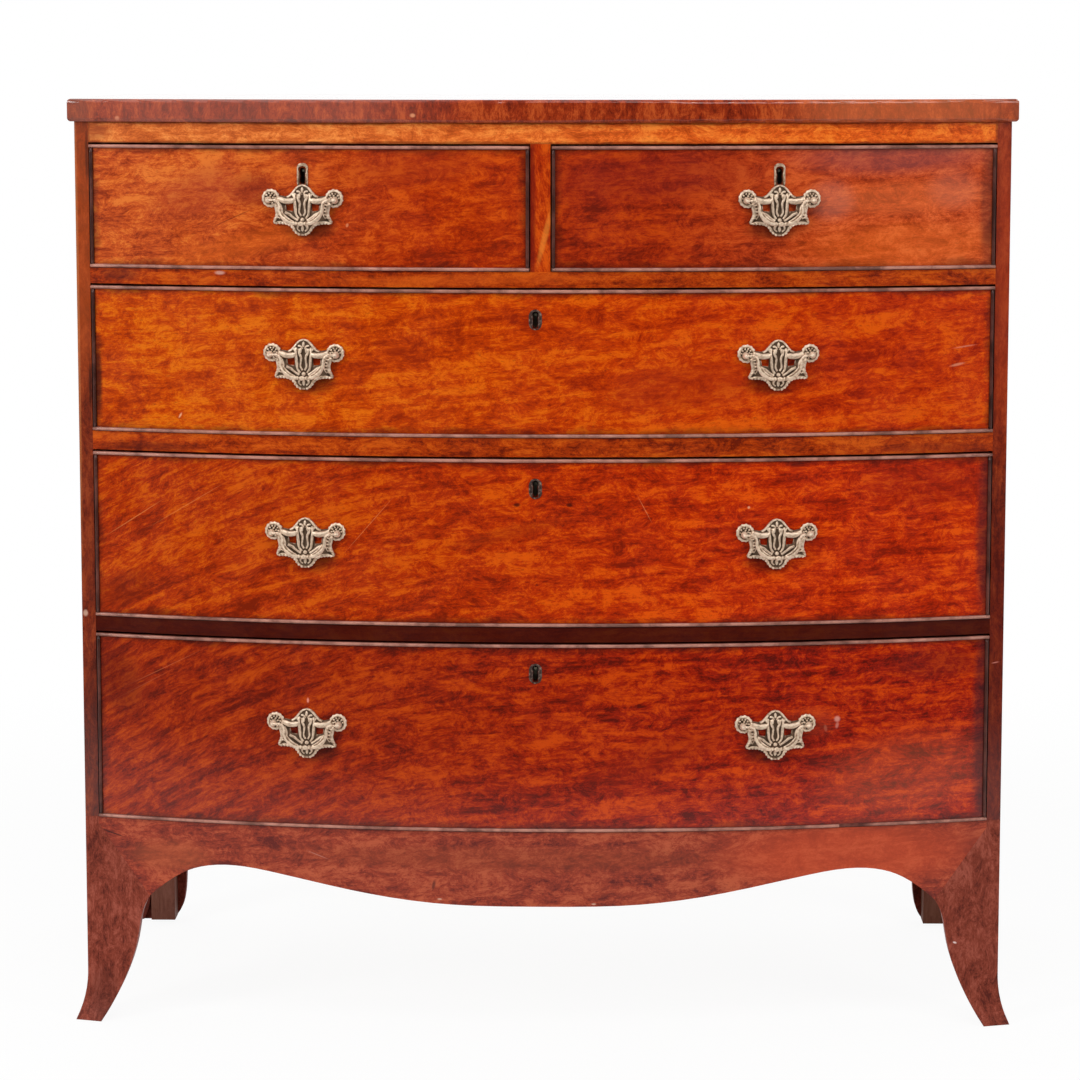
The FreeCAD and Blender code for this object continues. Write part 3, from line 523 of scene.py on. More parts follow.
# %% Tones and figure of the fronts
# For each front: its tones at the left and at the right end, where its noise starts, how its figure
# slopes in degrees and sweeps, and how strong the faint bars across it are.
FRONTS = {
    "top_left_drawer": dict(
        tones=("862a0a", "be4c18", "da722a"), far_tones=("7a1c02", "a62c02", "c84c08"),
        seed=1.3, slope=-5, ripple=0.35,
    ),
    "top_right_drawer": dict(
        tones=("6a1604", "9c2806", "bc4208"), far_tones=("862608", "be4618", "dc6630"),
        seed=2.9, slope=-3, ripple=0.2,
    ),
    "second_drawer": dict(
        tones=("922800", "be4200", "da6a08"), far_tones=("8c1a00", "bc3200", "d85604"),
        seed=4.1, slope=-5, ripple=0.5,
    ),
    "third_drawer": dict(
        tones=("781c00", "aa3000", "ca5604"), far_tones=("7e1600", "b82800", "de5004"),
        seed=5.7, slope=-3, sweep=0.55, ripple=0.25,
    ),
    "bottom_drawer": dict(
        tones=("601202", "922402", "b44206"), far_tones=("580800", "9e1a00", "cc4200"),
        seed=7.2, slope=-3, sweep=0.65, ripple=0.2,
    ),
}
print(len(FRONTS), "fronts have their tones")

# %% [markdown]
# ## Marks on the fronts
#
# The long marks are scratches and the small ones knocks. The large faint ones are places where the polish
# has faded or gone dark; two pale ones are painted sheen. They could be painted on an image. As ellipses
# with a place and a size in millimetres they stay sharp close up and are easy to move.

# %% Marks on the fronts
# Each mark: across, up, length, height, turn in degrees (a rise to the right is negative), colour, strength.
FRONT_MARKS = {
    "top_left_drawer": [
        (-318, 950, 70, 50, -20, "7a2418", 0.45),
        (-380, 945, 150, 70, -24, "a03a20", 0.40),
        (-330, 888, 260, 40, -14, "d46018", 0.30),
        (-140, 975, 220, 60, -6, "8e2c14", 0.30),
        (-340, 918, 64, 1.6, -24, "4a160c", 0.6),
        (-212, 911, 4, 6, 20, "e89060", 0.6),
    ],
    "top_right_drawer": [
        (120, 965, 330, 80, -4, "7a1a14", 0.35),
        (390, 988, 300, 60, -2, "8c4a48", 0.45),
        # Painted sheen: a pale patch on the right, where the polish catches the light.
        (400, 940, 260, 50, -2, "e8743a", 0.30),
        (400, 888, 300, 70, -2, "dc641c", 0.35),
        (318, 938, 70, 60, 0, "c8806c", 0.25),
        (455, 950, 80, 60, 0, "c8745c", 0.25),
        (494, 930, 24, 200, 0, "441a18", 0.50),
    ],
    "second_drawer": [
        (-402, 698, 9, 3, -60, "e8b088", 0.7),
        (470, 775, 34, 2.4, -8, "e09070", 0.45),
        (462, 755, 22, 4, -12, "e89a74", 0.5),
        (160, 735, 260, 70, -6, "a02c06", 0.40),
        (-497, 735, 14, 100, 0, "2a0c06", 0.75),
    ],
    "third_drawer": [
        (-26, 604, 10, 6, 0, "3a0c04", 0.8),
        (32, 604, 10, 6, 0, "3a0c04", 0.8),
        (-190, 580, 105, 1.0, -49, "e08a50", 0.45),
        (-457, 581, 100, 1.5, -33, "e08a4a", 0.45),
        (-395, 598, 130, 1.3, -31, "dc8244", 0.40),
        (115, 599, 42, 1.1, 62, "f09860", 0.40),
        (430, 622, 220, 70, 0, "8a1c06", 0.35),
        (-470, 500, 110, 50, -22, "6a1c06", 0.40),
        (-35, 572, 190, 22, -14, "8e2c06", 0.35),
        (230, 600, 4, 4, 0, "f0b890", 0.6),
        (496, 562, 26, 260, 0, "341a1e", 0.60),
    ],
    "bottom_drawer": [
        (331, 360, 9, 9, 30, "dca090", 0.65),
        (331, 353, 5, 10, 10, "d08878", 0.55),
        (318, 350, 5, 11, -12, "b86850", 0.5),
        (300, 357, 90, 44, 0, "a04028", 0.25),
        (-426, 411, 125, 1.3, -27, "cc683c", 0.45),
        (-448, 392, 90, 1.1, -29, "cc683c", 0.40),
        (-478, 395, 80, 120, -25, "50120a", 0.45),
        (123, 357, 14, 1.6, -60, "3a0c06", 0.8),
        (119, 319, 11, 1.4, -50, "3a0c06", 0.7),
        # Painted sheen: a faint pale haze on the right.
        (410, 295, 260, 130, -8, "b8603c", 0.20),
        (-260, 381, 3.5, 8, 0, "e8907a", 0.8),
        (130, 320, 240, 60, -20, "7c1c08", 0.30),
        (440, 420, 160, 50, 0, "60140c", 0.40),
        (496, 340, 28, 340, 0, "341a1e", 0.60),
    ],
}
print(sum(map(len, FRONT_MARKS.values())), "marks on the fronts")

# %% [markdown]
# ## Keyholes and painted handle shadows
#
# The bored keyholes are narrow, so painted shade, a little black round each, makes it read as a hole.
# Under each handle a painted shadow darkens the wood, more on the side towards the middle, where the
# handle's shadow falls. Both are marks like the others, but they repeat from drawer to drawer, so two
# functions make them. The model's hinges tell where the handles are.

# %% Keyholes and painted handle shadows
# Painted shade: black for the dark inside of each keyhole, and brown for the shadow under each handle.
KEYHOLE_SHADE_BLACK, HANDLE_SHADOW_BROWN = "080304", "2e0a02"
# For each keyhole: its place across, then how far up its upper mark of painted shade lies and how high that
# is.
KEYHOLES = {
    "top_left_drawer": (-261, 968.7, 16),
    "top_right_drawer": (261, 968.7, 16),
    "second_drawer": (-5.5, 813.2, 14),
    "third_drawer": (-5.5, 626.7, 14),
    "bottom_drawer": (-5.5, 420.2, 14),
}
# The painted shadow's place across as a share of the hinge's, and how far below the hinge it lies.
HANDLE_SHADOW_INWARD, HANDLE_SHADOW_DROP = 0.955, 31
HINGES = [joint for joint in frame["joints"] if joint["type"] == "hinge"]


def keyhole_shade(drawer):
    """Two marks of painted shade: one for the round of the keyhole, and one for the slot under it."""
    x, up, height = KEYHOLES[drawer]
    return [(x, up, 13, height, 0, KEYHOLE_SHADE_BLACK, 1.0), (x, up - 8, 13, 16, 0, KEYHOLE_SHADE_BLACK, 1.0)]


def painted_shadow(drawer):
    """One painted shadow under each handle of a drawer, where the handle's shadow falls on the wood."""
    places = [hinge["pos_m"] for hinge in HINGES if hinge["parent"] == drawer]
    return [(HANDLE_SHADOW_INWARD * x / MM, z / MM - HANDLE_SHADOW_DROP, 72, 34, 0, HANDLE_SHADOW_BROWN, 0.6) for x, _, z in places]


for drawer, look in FRONTS.items():
    board = f"{drawer}_front"
    marks = FRONT_MARKS[drawer] + keyhole_shade(drawer) + painted_shadow(drawer)
    dress(board, mahogany(board, rim_width=0.012, marks=marks, **look))
print(len(FRONTS), "fronts finished, with grime under", len(HINGES), "handles")

# %% [markdown]
# ## The carcass
#
# Rails and frieze run across, stiles, divider, sides and feet run up. The edge of the top is banded with
# short pieces set on end. The apron and the feet have had more knocks and less polish than the drawers.
# The top itself has the most polish: seen almost edge on, it mirrors the white room behind it.

# %% Tones and figure of the carcass
SIDES = dict(tones=("5c1c0c", "8e3414", "ac5020"), grain="upright", mottle=0.45)
CARCASS = {
    "frieze_rail": dict(
        tones=("a84a1c", "d0682a", "e88c44"), far_tones=("a43804", "da5814", "f08228"),
        seed=11.0, rim_width=0.003,
    ),
    "drawer_rails": dict(tones=("681802", "a63604", "c8560e"), seed=12.0),
    "centre_divider": dict(tones=("6e1200", "a82c02", "cc500a"), seed=13.0, grain="upright", slope=-12),
    "corner_stiles": dict(tones=("4a1408", "802a0e", "a4441c"), seed=14.0, grain="upright"),
    "side_left": dict(seed=15.0, **SIDES),
    "side_right": dict(seed=16.5, **SIDES),
    "apron": dict(tones=("5e1a12", "92341e", "b25232"), seed=17.0, slope=-3, calm=0.7, rough=0.42, coat=0.3),
    "front_feet": dict(
        tones=("521e16", "803828", "9c5040"), seed=18.0, grain="upright", calm=0.45, rough=0.52, coat=0.0,
    ),
    "rear_feet": dict(
        tones=("44180e", "6c2c20", "884034"), seed=19.0, grain="upright", calm=0.5, rough=0.6, coat=0.0,
    ),
    "top_board": dict(
        tones=("6a1c0a", "9c3814", "c05c26"), seed=20.0, grain="across_lying", mottle=0.6, rough=0.12,
        ior_level=0.5, coat=1.0, coat_rough=0.05,
    ),
    "top_edge_band": dict(tones=("5c1808", "8e2c0e", "b64e20"), seed=21.0, grain="upright", calm=0.7),
}
print(len(CARCASS), "carcass boards have their tones")

# %% [markdown]
# ## Marks on the carcass
#
# The carcass is marked as the fronts are. Some of its marks are long: the stiles and the edge of the top
# change their tone from end to end, and the lowest rail is dark all along, since little light gets there.

# %% Marks on the carcass
CARCASS_MARKS = {
    "frieze_rail": [
        (-248, 1001, 28, 4, 0, "3a140a", 0.8),
        (73, 1001, 16, 3, 0, "3a140a", 0.6),
        (355, 1001, 18, 3, 0, "3a140a", 0.5),
        (-500, 1012, 60, 30, 0, "8a4020", 0.5),
    ],
    "drawer_rails": [
        (0, 459, 6000, 60, 0, "360400", 0.92),
        (-355, 857.5, 15, 6, 0, "c89080", 0.9),
        (-80, 852, 420, 16, -1, "c05014", 0.35),
        (-470, 854, 60, 18, 0, "4a1a14", 0.5),
        (-440, 662, 160, 16, 0, "5c1c0c", 0.5),
        (440, 662, 200, 16, 0, "7c240c", 0.4),
    ],
    "centre_divider": [(-9, 930, 10, 300, 0, "6e1408", 0.7), (5, 900, 9, 90, 14, "e88830", 0.5)],
    "corner_stiles": [
        (-510, 560, 60, 700, 0, "4c1e16", 0.35),
        (-512, 900, 60, 440, 0, "b04c18", 0.45),
        (512, 350, 60, 800, 0, "500a06", 0.52),
        (512, 850, 60, 500, 0, "a4300e", 0.45),
        (-510, 300, 60, 300, 0, "4c241e", 0.45),
        (-506, 985, 5, 80, 0, "2e120c", 0.6),
        (-506, 728, 5, 70, 0, "2a100a", 0.7),
        (-516, 470, 8, 10, 0, "d0a890", 0.7),
        (511, 417, 12, 2, -8, "d08070", 0.7),
        # Painted highlight: a pale reflection along the outer edge of the left stile.
        (-519, 800, 5, 700, 0, "c07848", 0.45),
    ],
    "apron": [
        (-119.5, 174.3, 5, 16, 10, "4a1a14", 0.7),
        (-250, 205, 32, 1.5, 20, "c89080", 0.5),
        (-112.8, 158.4, 7, 3, 0, "d8a890", 0.7),
        (59.6, 154.1, 7, 3, 0, "d8a890", 0.7),
        (-489, 218.4, 40, 2.4, 16, "2a0e0a", 0.8),
        (-420, 196, 130, 50, 0, "a8502c", 0.45),
        (-494, 190, 60, 60, 40, "5e221a", 0.40),
        (-40, 205, 700, 40, 0, "8a3a1c", 0.35),
        (490, 205, 60, 70, -40, "6a241a", 0.35),
        (350, 205, 400, 110, 0, "cc4a20", 0.50),
    ],
    "front_feet": [(469, 96.6, 6, 3, 20, "f0d8d0", 0.8), (-500, 30, 50, 90, 0, "4a2018", 0.4)],
    "top_edge_band": [
        (-469, 1027, 7, 7, 0, "d88a64", 0.7),
        (-139, 1031, 8, 6, 0, "e09468", 0.8),
        (-530, 1036, 90, 80, 0, "7c4a38", 0.45),
        (-330, 1036, 560, 120, 0, "bc8274", 0.22),
        (534, 1036, 40, 80, 0, "5c2c20", 0.45),
        (400, 1036, 340, 120, 0, "e8804c", 0.33),
    ],
}
for board, look in CARCASS.items():
    dress(board, mahogany(board, marks=CARCASS_MARKS.get(board, ()), **look))
print(len(CARCASS), "carcass boards finished")

# %% [markdown]
# ## Dry wood inside
#
# Drawer boxes, dust boards, runners and the back are of plain pale wood, planed and never polished. The
# same grain function makes it, with quiet tones, no coat and a rough surface.

# %% Secondary wood


def dry_wood(name, tones, grain, seed):
    finish = Finish(name)
    value, pores = figure(finish, grain, seed, mottle=0.3)
    colour = finish.tones(value, TONE_STOPS, tones)
    colour = finish.over(finish.times(pores, 0.35), colour, shade("5a3c22"))
    dust = finish.patches(0.12, (seed, 0, 0), 4, 0.6)
    colour = finish.over(finish.spread(dust, 0.45, 0.75, 0.0, 0.35), colour, shade("6b4a2e"))
    relief = finish.raised(value, 0.3 * MM, 0.4)
    return finish.done(Base_Color=colour, Roughness=finish.spread(dust, 0.3, 0.7, 0.62, 0.8), Normal=relief,
                       Specular_IOR_Level=0.25)


PINE, OAK = ("8a6238", "b48a58", "cfa874"), ("7c5a34", "a07a4c", "bc9864")
STAINED = ("3a1c12", "66382a", "805042")
DRY = {
    "dust_boards": (PINE, "across_lying"),
    "drawer_runners": (OAK, "front_to_back"),
    "bottom_board": (PINE, "across_lying"),
    "back_boards": (PINE, "across"),
    "drawer_stops": (OAK, "across"),
    "foot_blocks": (STAINED, "upright"),
}
for drawer in FRONTS:
    DRY[f"{drawer}_box"] = (OAK, "front_to_back")
    DRY[f"{drawer}_bottom"] = (PINE, "across_lying")
for number, (board, (tones, grain)) in enumerate(DRY.items()):
    dress(board, dry_wood(board, tones, grain, 30.0 + number))
print(len(DRY), "dry boards finished")

# %% [markdown]
# ## Locks
#
# The lock cases and bolts are iron and brass gone dull. They are seen through the keyholes and when a
# drawer is open.

# %% Lock metal


def lock_metal():
    finish = Finish("lock_metal")
    tarnish = finish.patches(0.012, detail=5, rough=0.65)
    colour = finish.tones(tarnish, (0.3, 0.5, 0.72), ("4a443c", "77705f", "9a927e"))
    file_marks = finish.cloud(finish.laid((0.02, 0.0006, 0.0006)), 2)
    return finish.done(Base_Color=colour, Metallic=1.0, Roughness=finish.spread(tarnish, 0.3, 0.7, 0.35, 0.6),
                       Normal=finish.raised(file_marks, 0.0001, 0.4))


LOCK_METAL = lock_metal()
for drawer in FRONTS:
    dress(f"{drawer}_lock_case", LOCK_METAL)
    dress(f"{drawer}_lock_bolt", LOCK_METAL)
print("locks finished")

# %% [markdown]
# ## The bow
#
# Everything on the front follows one upright cylinder. Two helpers place things on it: one gives the
# point on the bow for a place across the width, the other sets a fitting down there, square to the wood.
# Two more are for making pieces: most are rings of points, joined by bands of faces.

# %% Places on the bow
BOW_RADIUS, BOW_CENTRE = 1.840, 1.5735


def bow_point(x, out, z):
    """A point this far out from the bow's face."""
    turn = math.asin(x / BOW_RADIUS)
    reach = BOW_RADIUS + out
    return Vector((reach * math.sin(turn), BOW_CENTRE - reach * math.cos(turn), z))


def seat(piece, x, z):
    """Sets a fitting on the bow, with its own -Y axis pointing straight out of the wood."""
    piece.location = bow_point(x, 0, z)
    piece.rotation_euler = (0, 0, math.asin(x / BOW_RADIUS))
    return piece


def band(build, first, second, finish=0):
    """A closed band of faces between two rings with the same number of points."""
    for step in range(len(first)):
        nearby = (step + 1) % len(first)
        face = build.faces.new((first[step], first[nearby], second[nearby], second[step]))
        face.material_index = finish


def to_mesh(build, name, smooth=True):
    """Turns a bmesh into a mesh with sound normals."""
    bmesh.ops.recalc_face_normals(build, faces=build.faces)
    mesh = bpy.data.meshes.new(name)
    build.to_mesh(mesh)
    build.free()
    for face in mesh.polygons:
        face.use_smooth = smooth
    return mesh


print("the bow's middle is at y", round(bow_point(0, 0, 0).y, 4), "m")

# %% [markdown]
# ## Cock beads
#
# A cock bead is a thin strip let into the edge of a drawer front. It stands a little proud and has a
# round nose. In the model the beads are perfect; after two centuries they have shrunk, been knocked and
# glued back, and dark polish has built up along them, so they are made a little thicker than the model's.
# Here each strip is a section carried along the edge in short steps, and soft noise moves the section by a
# fraction of a millimetre. One stretch of the lowest bead has broken away.

# %% One bead
from mathutils import noise

# A bead's thickness, how far its nose stands out and how deep its root goes in.
BEAD, BEAD_NOSE, BEAD_ROOT = 3.9 * MM, 3.0 * MM, 8.5 * MM
BEAD_STEP, BEAD_WANDER = 5 * MM, 0.22 * MM
# How long the waves are in which a bead wanders outwards and sideways, in metres.
OUT_WAVE, SIDE_WAVE = 0.03, 0.05


def hash_of(name):
    """A number that depends only on the letters of a name."""
    return sum((place + 1) * ord(letter) for place, letter in enumerate(name)) % 97 / 3.1


def unbroken(along):
    """How much is left of a bead that is whole: all of it."""
    return 1.0


def bead_section():
    """The strip's section: how far out from the bow, and where across its thickness."""
    half = BEAD / 2
    arc = [math.pi * step / 6 for step in range(7)]
    nose = [(BEAD_NOSE - half + half * math.sin(turn), half - half * math.cos(turn)) for turn in arc]
    return [(-BEAD_ROOT, 0), *nose, (-BEAD_ROOT, BEAD)]


def lay_bead(build, name, stations, place, left_of=unbroken, finish=0):
    """Carries the section along stations; place turns (along, out, across) into a point."""
    rings = []
    for along in stations:
        shake = noise.noise(Vector((along / OUT_WAVE, hash_of(name), 0)))
        lean = noise.noise(Vector((along / SIDE_WAVE, 7.7, hash_of(name))))
        ring = []
        for out, across in bead_section():
            if out > 0:
                out = left_of(along) * (out + BEAD_WANDER * shake)
            across += 0.6 * BEAD_WANDER * lean
            ring.append(build.verts.new(place(along, out, across)))
        rings.append(ring)
    for first, second in zip(rings, rings[1:]):
        band(build, first, second, finish)
    for ring in (rings[0], rings[-1]):
        build.faces.new(ring).material_index = finish


def steps_between(low, high):
    """Places from low to high in even steps, each about as long as BEAD_STEP."""
    count = max(2, round((high - low) / BEAD_STEP))
    return [low + (high - low) * number / count for number in range(count + 1)]


print("a bead's section has", len(bead_section()), "points")

# %% [markdown]
# ## The beads' finish
#
# The beads are stained dark. The level ones have a pale nose, painted highlight and some wear; the upright
# ones are a darker copy, painted shade, with a fainter nose. How far a point stands out from the bow tells
# the nose from the flanks: it is the distance to the bow's axis, less the bow's radius.

# %% Bead finish
# How far out from the bow a bead's painted highlight and wear start, and how far out they are strongest.
LIT_AND_WORN_FROM, LIT_AND_WORN_MOST = 0.9 * MM, 2.6 * MM


def bead_finish(name, tones, lit_and_worn_tone, most):
    """Stained wood, with a pale nose of painted highlight and some wear, by up to the given share."""
    finish = Finish(name)
    value, pores = figure(finish, "across", 44.0)
    blotch = finish.patches(0.045, (3, 1, 0), 4, 0.7, 0.5)
    colour = finish.tones(blotch, (0.30, 0.5, 0.7), tones)
    x, y, _ = finish.split()[:3]
    far = finish.length(finish.joined(x, finish.less(y, BOW_CENTRE)))
    nose = finish.spread(far, BOW_RADIUS + LIT_AND_WORN_FROM, BOW_RADIUS + LIT_AND_WORN_MOST)
    # Painted highlight, with some wear, along the nose.
    lit_and_worn = finish.times(nose, finish.spread(blotch, 0.35, 0.65, 0.3 * most, most))
    colour = finish.over(lit_and_worn, colour, shade(lit_and_worn_tone))
    colour = finish.over(finish.times(pores, 0.3), colour, shade("1c0e0b"))
    return finish.done(Base_Color=colour, Roughness=finish.spread(blotch, 0.3, 0.7, 0.30, 0.48),
                       Normal=finish.raised(value, 0.1 * MM, 0.3), Specular_IOR_Level=0.2, Coat_Weight=0.15,
                       Coat_Roughness=0.12)


# The level beads have a painted highlight on the nose; the upright ones are a darker copy, painted shade.
LIT_LEVEL_BEAD = bead_finish("bead_wood", ("2c0e0a", "5a2a22", "7e483a"), "c48a78", 0.85)
SHADED_UPRIGHT_BEAD = bead_finish("bead_wood_upright", ("1c0805", "34120c", "562820"), "7c4c40", 0.35)
print("bead finishes:", LIT_LEVEL_BEAD.name, SHADED_UPRIGHT_BEAD.name)

# %% [markdown]
# ## The beads of every drawer
#
# Two level strips follow the bow and two upright ones stand at the ends of each front. The lowest bead of
# the bottom drawer is snapped off near its right end, so its section is scaled down there and rises slowly
# to full again.

# %% The beads of every drawer
BREAK_START, BREAK_FOOT, BREAK_END = 334 * MM, 336 * MM, 381 * MM
# The share of the bead that is left where it is broken most.
STUMP = 0.08


def broken(along):
    """How much of the lowest bead is left: snapped off short, then rising slowly to full again."""
    if along < BREAK_START or along > BREAK_END:
        return 1.0
    if along < BREAK_FOOT:
        return STUMP
    return STUMP + (1 - STUMP) * ((along - BREAK_FOOT) / (BREAK_END - BREAK_FOOT)) ** 1.5


def make_beads(drawer):
    node = f"{drawer}_cock_beads"
    low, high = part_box(node)
    build = bmesh.new()
    across = steps_between(low.x, high.x)
    if drawer == "bottom_drawer":
        across = sorted(across + [BREAK_START - 0.1 * MM, BREAK_START, BREAK_FOOT])
    for where, z in (("bottom", low.z), ("top", high.z - BEAD)):
        left_of = broken if (drawer, where) == ("bottom_drawer", "bottom") else unbroken
        lay_bead(build, node + where, across, lambda x, out, up, z=z: bow_point(x, out, z + up), left_of)
    upright = steps_between(low.z + BEAD, high.z - BEAD)
    for where, x in (("left", low.x), ("right", high.x - BEAD)):
        face = bow_point(x + BEAD / 2, 0, 0).y
        place = lambda z, out, aside, x=x, face=face: Vector((x + aside, face - out, z))
        lay_bead(build, node + where, upright, place, finish=1)
    beads = put(bpy.data.objects.new(f"{drawer}_beads", to_mesh(build, f"{drawer}_beads")))
    for material in (LIT_LEVEL_BEAD, SHADED_UPRIGHT_BEAD):
        beads.data.materials.append(material)
    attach(beads, drawer)
    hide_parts(node)
    return len(beads.data.polygons)


print("bead faces:", [make_beads(drawer) for drawer in FRONTS])

# %% [markdown]
# ## Casting an ornament
#
# The handles are cast brass in the rococo taste: a pierced back plate with leaves and scrolls, a shell
# over each post, and a drop handle between. A founder's pattern is built up from rolls and lumps of wax,
# and that way works here too. Stems are tapered rolls along a smooth line, lumps are squashed balls, and
# slabs are flat sheets. They overlap freely. A Remesh modifier then melts them into one skin, a smoothing
# softens it as polishing does, and a Decimate modifier takes the needless faces out.

# %% Rolls of wax
# A roll's line has this many steps between two given points, and the roll this many sides.
LINE_STEPS, ROLL_SIDES = 5, 10


def smooth_line(points):
    """A soft line through points of any length: their last number may be a radius."""
    ends = [points[0], *points, points[-1]]
    line = []
    for before, start, stop, after in zip(ends, ends[1:], ends[2:], ends[3:]):
        for step in range(LINE_STEPS):
            t = step / LINE_STEPS
            bend = (2 * before - 5 * start + 4 * stop - after) * t * t
            twist = (3 * start - 3 * stop + after - before) * t * t * t
            line.append(0.5 * (2 * start + (stop - before) * t + bend + twist))
    return line + [points[-1]]


def stem(build, points):
    """A tapered roll through points (across, out, up, radius) in millimetres."""
    line = smooth_line([Vector(point) for point in points])
    rings = []
    for number, spot in enumerate(line):
        before, after = line[max(number - 1, 0)], line[min(number + 1, len(line) - 1)]
        along = Vector((after[0] - before[0], before[1] - after[1], after[2] - before[2])).normalized()
        out = Vector((0, -1, 0))
        out = (out - along * out.dot(along)).normalized() if abs(along.y) < 0.99 else Vector((0, 0, 1))
        aside = along.cross(out)
        centre, radius = Vector((spot[0], -spot[1], spot[2])), spot[3]
        turns = [2 * math.pi * side / ROLL_SIDES for side in range(ROLL_SIDES)]
        ring = [centre + radius * (aside * math.cos(turn) + out * math.sin(turn)) for turn in turns]
        rings.append([build.verts.new(point * MM) for point in ring])
    for first, second in zip(rings, rings[1:]):
        band(build, first, second)
    build.faces.new(rings[0])
    build.faces.new(rings[-1])


print("a roll has", ROLL_SIDES, "sides and", LINE_STEPS, "steps from point to point")

# %% [markdown]
# ## Lumps, slabs and the other half
#
# A ball is squashed by a matrix, which scales and moves it in one go. A slab is the flat bed under the
# relief. Each ornament is the same on both sides, so only one half is written down.

# %% Lumps and slabs
from mathutils import Matrix


def lump(build, centre, size):
    """A squashed ball: centre and half sizes are (across, out, up) in millimetres."""
    x, out, z = (number * MM for number in centre)
    place = Matrix.Translation((x, -out, z)) @ Matrix.Diagonal((*[number * MM for number in size], 1))
    bmesh.ops.create_icosphere(build, subdivisions=3, radius=1, matrix=place)


def slab(build, outline, inner, outer):
    """A flat sheet with this outline of (across, up), between two distances out from the wood."""
    front = [build.verts.new((x * MM, -outer * MM, z * MM)) for x, z in outline]
    back = [build.verts.new((x * MM, -inner * MM, z * MM)) for x, z in outline]
    build.faces.new(front)
    build.faces.new(back[::-1])
    for number in range(len(outline)):
        nearby = (number + 1) % len(outline)
        build.faces.new((front[number], back[number], back[nearby], front[nearby]))


def flip(points):
    """The same points on the other side."""
    return [(-point[0], *point[1:]) for point in points]


def both_halves(build, half):
    """Rolls for one half of an ornament, each followed by the same on the other side."""
    for points in half.values():
        stem(build, points)
        stem(build, flip(points))


print("on the other side, the points (1, 0) and (2, 1) are", flip([(1, 0), (2, 1)]))

# %% [markdown]
# ## Finding the hollows
#
# Old brass is dark in its hollows, so every point has to know how deep it lies in one. A few rounds of
# averaging with its neighbours pull a point in a groove outwards and a point on a crest inwards. How far
# they move is kept as a number on the mesh, for the brass finish to read.

# %% Finding the hollows
import numpy

# The rounds of averaging, and how far they move a point that counts as lying deepest.
HOLLOW_ROUNDS, HOLLOW_DEPTH = 10, 0.34 * MM


def mark_hollows(mesh):
    """Stores for each point how deep it lies in a hollow: smoothing pulls such points outwards."""
    count = len(mesh.vertices)
    points = numpy.empty(count * 3)
    normals = numpy.empty(count * 3)
    ends = numpy.empty(len(mesh.edges) * 2, dtype=int)
    mesh.vertices.foreach_get("co", points)
    mesh.vertices.foreach_get("normal", normals)
    mesh.edges.foreach_get("vertices", ends)
    points, normals, ends = points.reshape(-1, 3), normals.reshape(-1, 3), ends.reshape(-1, 2)
    soft, degree = points.copy(), numpy.bincount(ends.ravel(), minlength=count).reshape(-1, 1)
    for _ in range(HOLLOW_ROUNDS):
        total = numpy.zeros_like(soft)
        numpy.add.at(total, ends[:, 0], soft[ends[:, 1]])
        numpy.add.at(total, ends[:, 1], soft[ends[:, 0]])
        soft = total / numpy.maximum(degree, 1)
    hollow = ((soft - points) * normals).sum(1) / HOLLOW_DEPTH
    mesh.attributes.new("hollow", "FLOAT", "POINT").data.foreach_set("value", numpy.clip(hollow, -1, 1))


print("hollows are counted up to", round(HOLLOW_DEPTH / MM, 2), "mm")

# %% [markdown]
# ## One skin over the wax
#
# The modifiers need an object to work on, so the wax is linked to the scene for a moment and its evaluated
# mesh is kept. Its hollows are marked while it is still flat; then it is bent to the bow.

# %% Melting the wax into one casting
# The size of the finest form that the skin keeps.
GRAIN_OF_CAST = 0.42 * MM
# How strong the polishing is, and how often it is done.
POLISH = (0.5, 2)


def cast(build, name, share=0.16):
    """One smooth skin over wax shapes, bent to the bow; share is how much of its faces is kept."""
    pattern = put(bpy.data.objects.new(name, to_mesh(build, name, smooth=False)))
    skin = pattern.modifiers.new("skin", "REMESH")
    skin.mode, skin.voxel_size = "VOXEL", GRAIN_OF_CAST
    polish = pattern.modifiers.new("polish", "SMOOTH")
    polish.factor, polish.iterations = POLISH
    pattern.modifiers.new("lighter", "DECIMATE").ratio = share
    mesh = bpy.data.meshes.new_from_object(pattern.evaluated_get(bpy.context.evaluated_depsgraph_get()))
    bpy.data.objects.remove(pattern)
    mark_hollows(mesh)
    for point in mesh.vertices:
        point.co.y += BOW_RADIUS - math.sqrt(BOW_RADIUS**2 - point.co.x**2)
    for face in mesh.polygons:
        face.use_smooth = True
    mesh.name = name
    return mesh


print("the skin of a casting is", GRAIN_OF_CAST / MM, "mm fine")

# %% [markdown]
# ## Old brass
#
# The brass has lost its lacquer. Where fingers and cloths reach it is pale and silvery, and in the
# hollows it is brown and dull. The casting step stored how hollow each point is, so the finish can follow
# the ornament exactly, and noise only breaks it up. Close to the wood it is darker, painted shade where the
# plate meets it: how far out a point lies is its y, less the little that the bow falls back towards its ends.

# %% Brass finish
# From pale to brown.
BRASS_TONES = ("ead2b8", "c8ac92", "a2846a", "7c604a", "58422f")
# Painted shade: closer to the wood than the first distance the brass is darker by the third amount; from the
# second distance outwards it isn't.
PLATE_SHADE_FROM, DULL_TO, DULL = 1.3 * MM, 3.3 * MM, 0.95


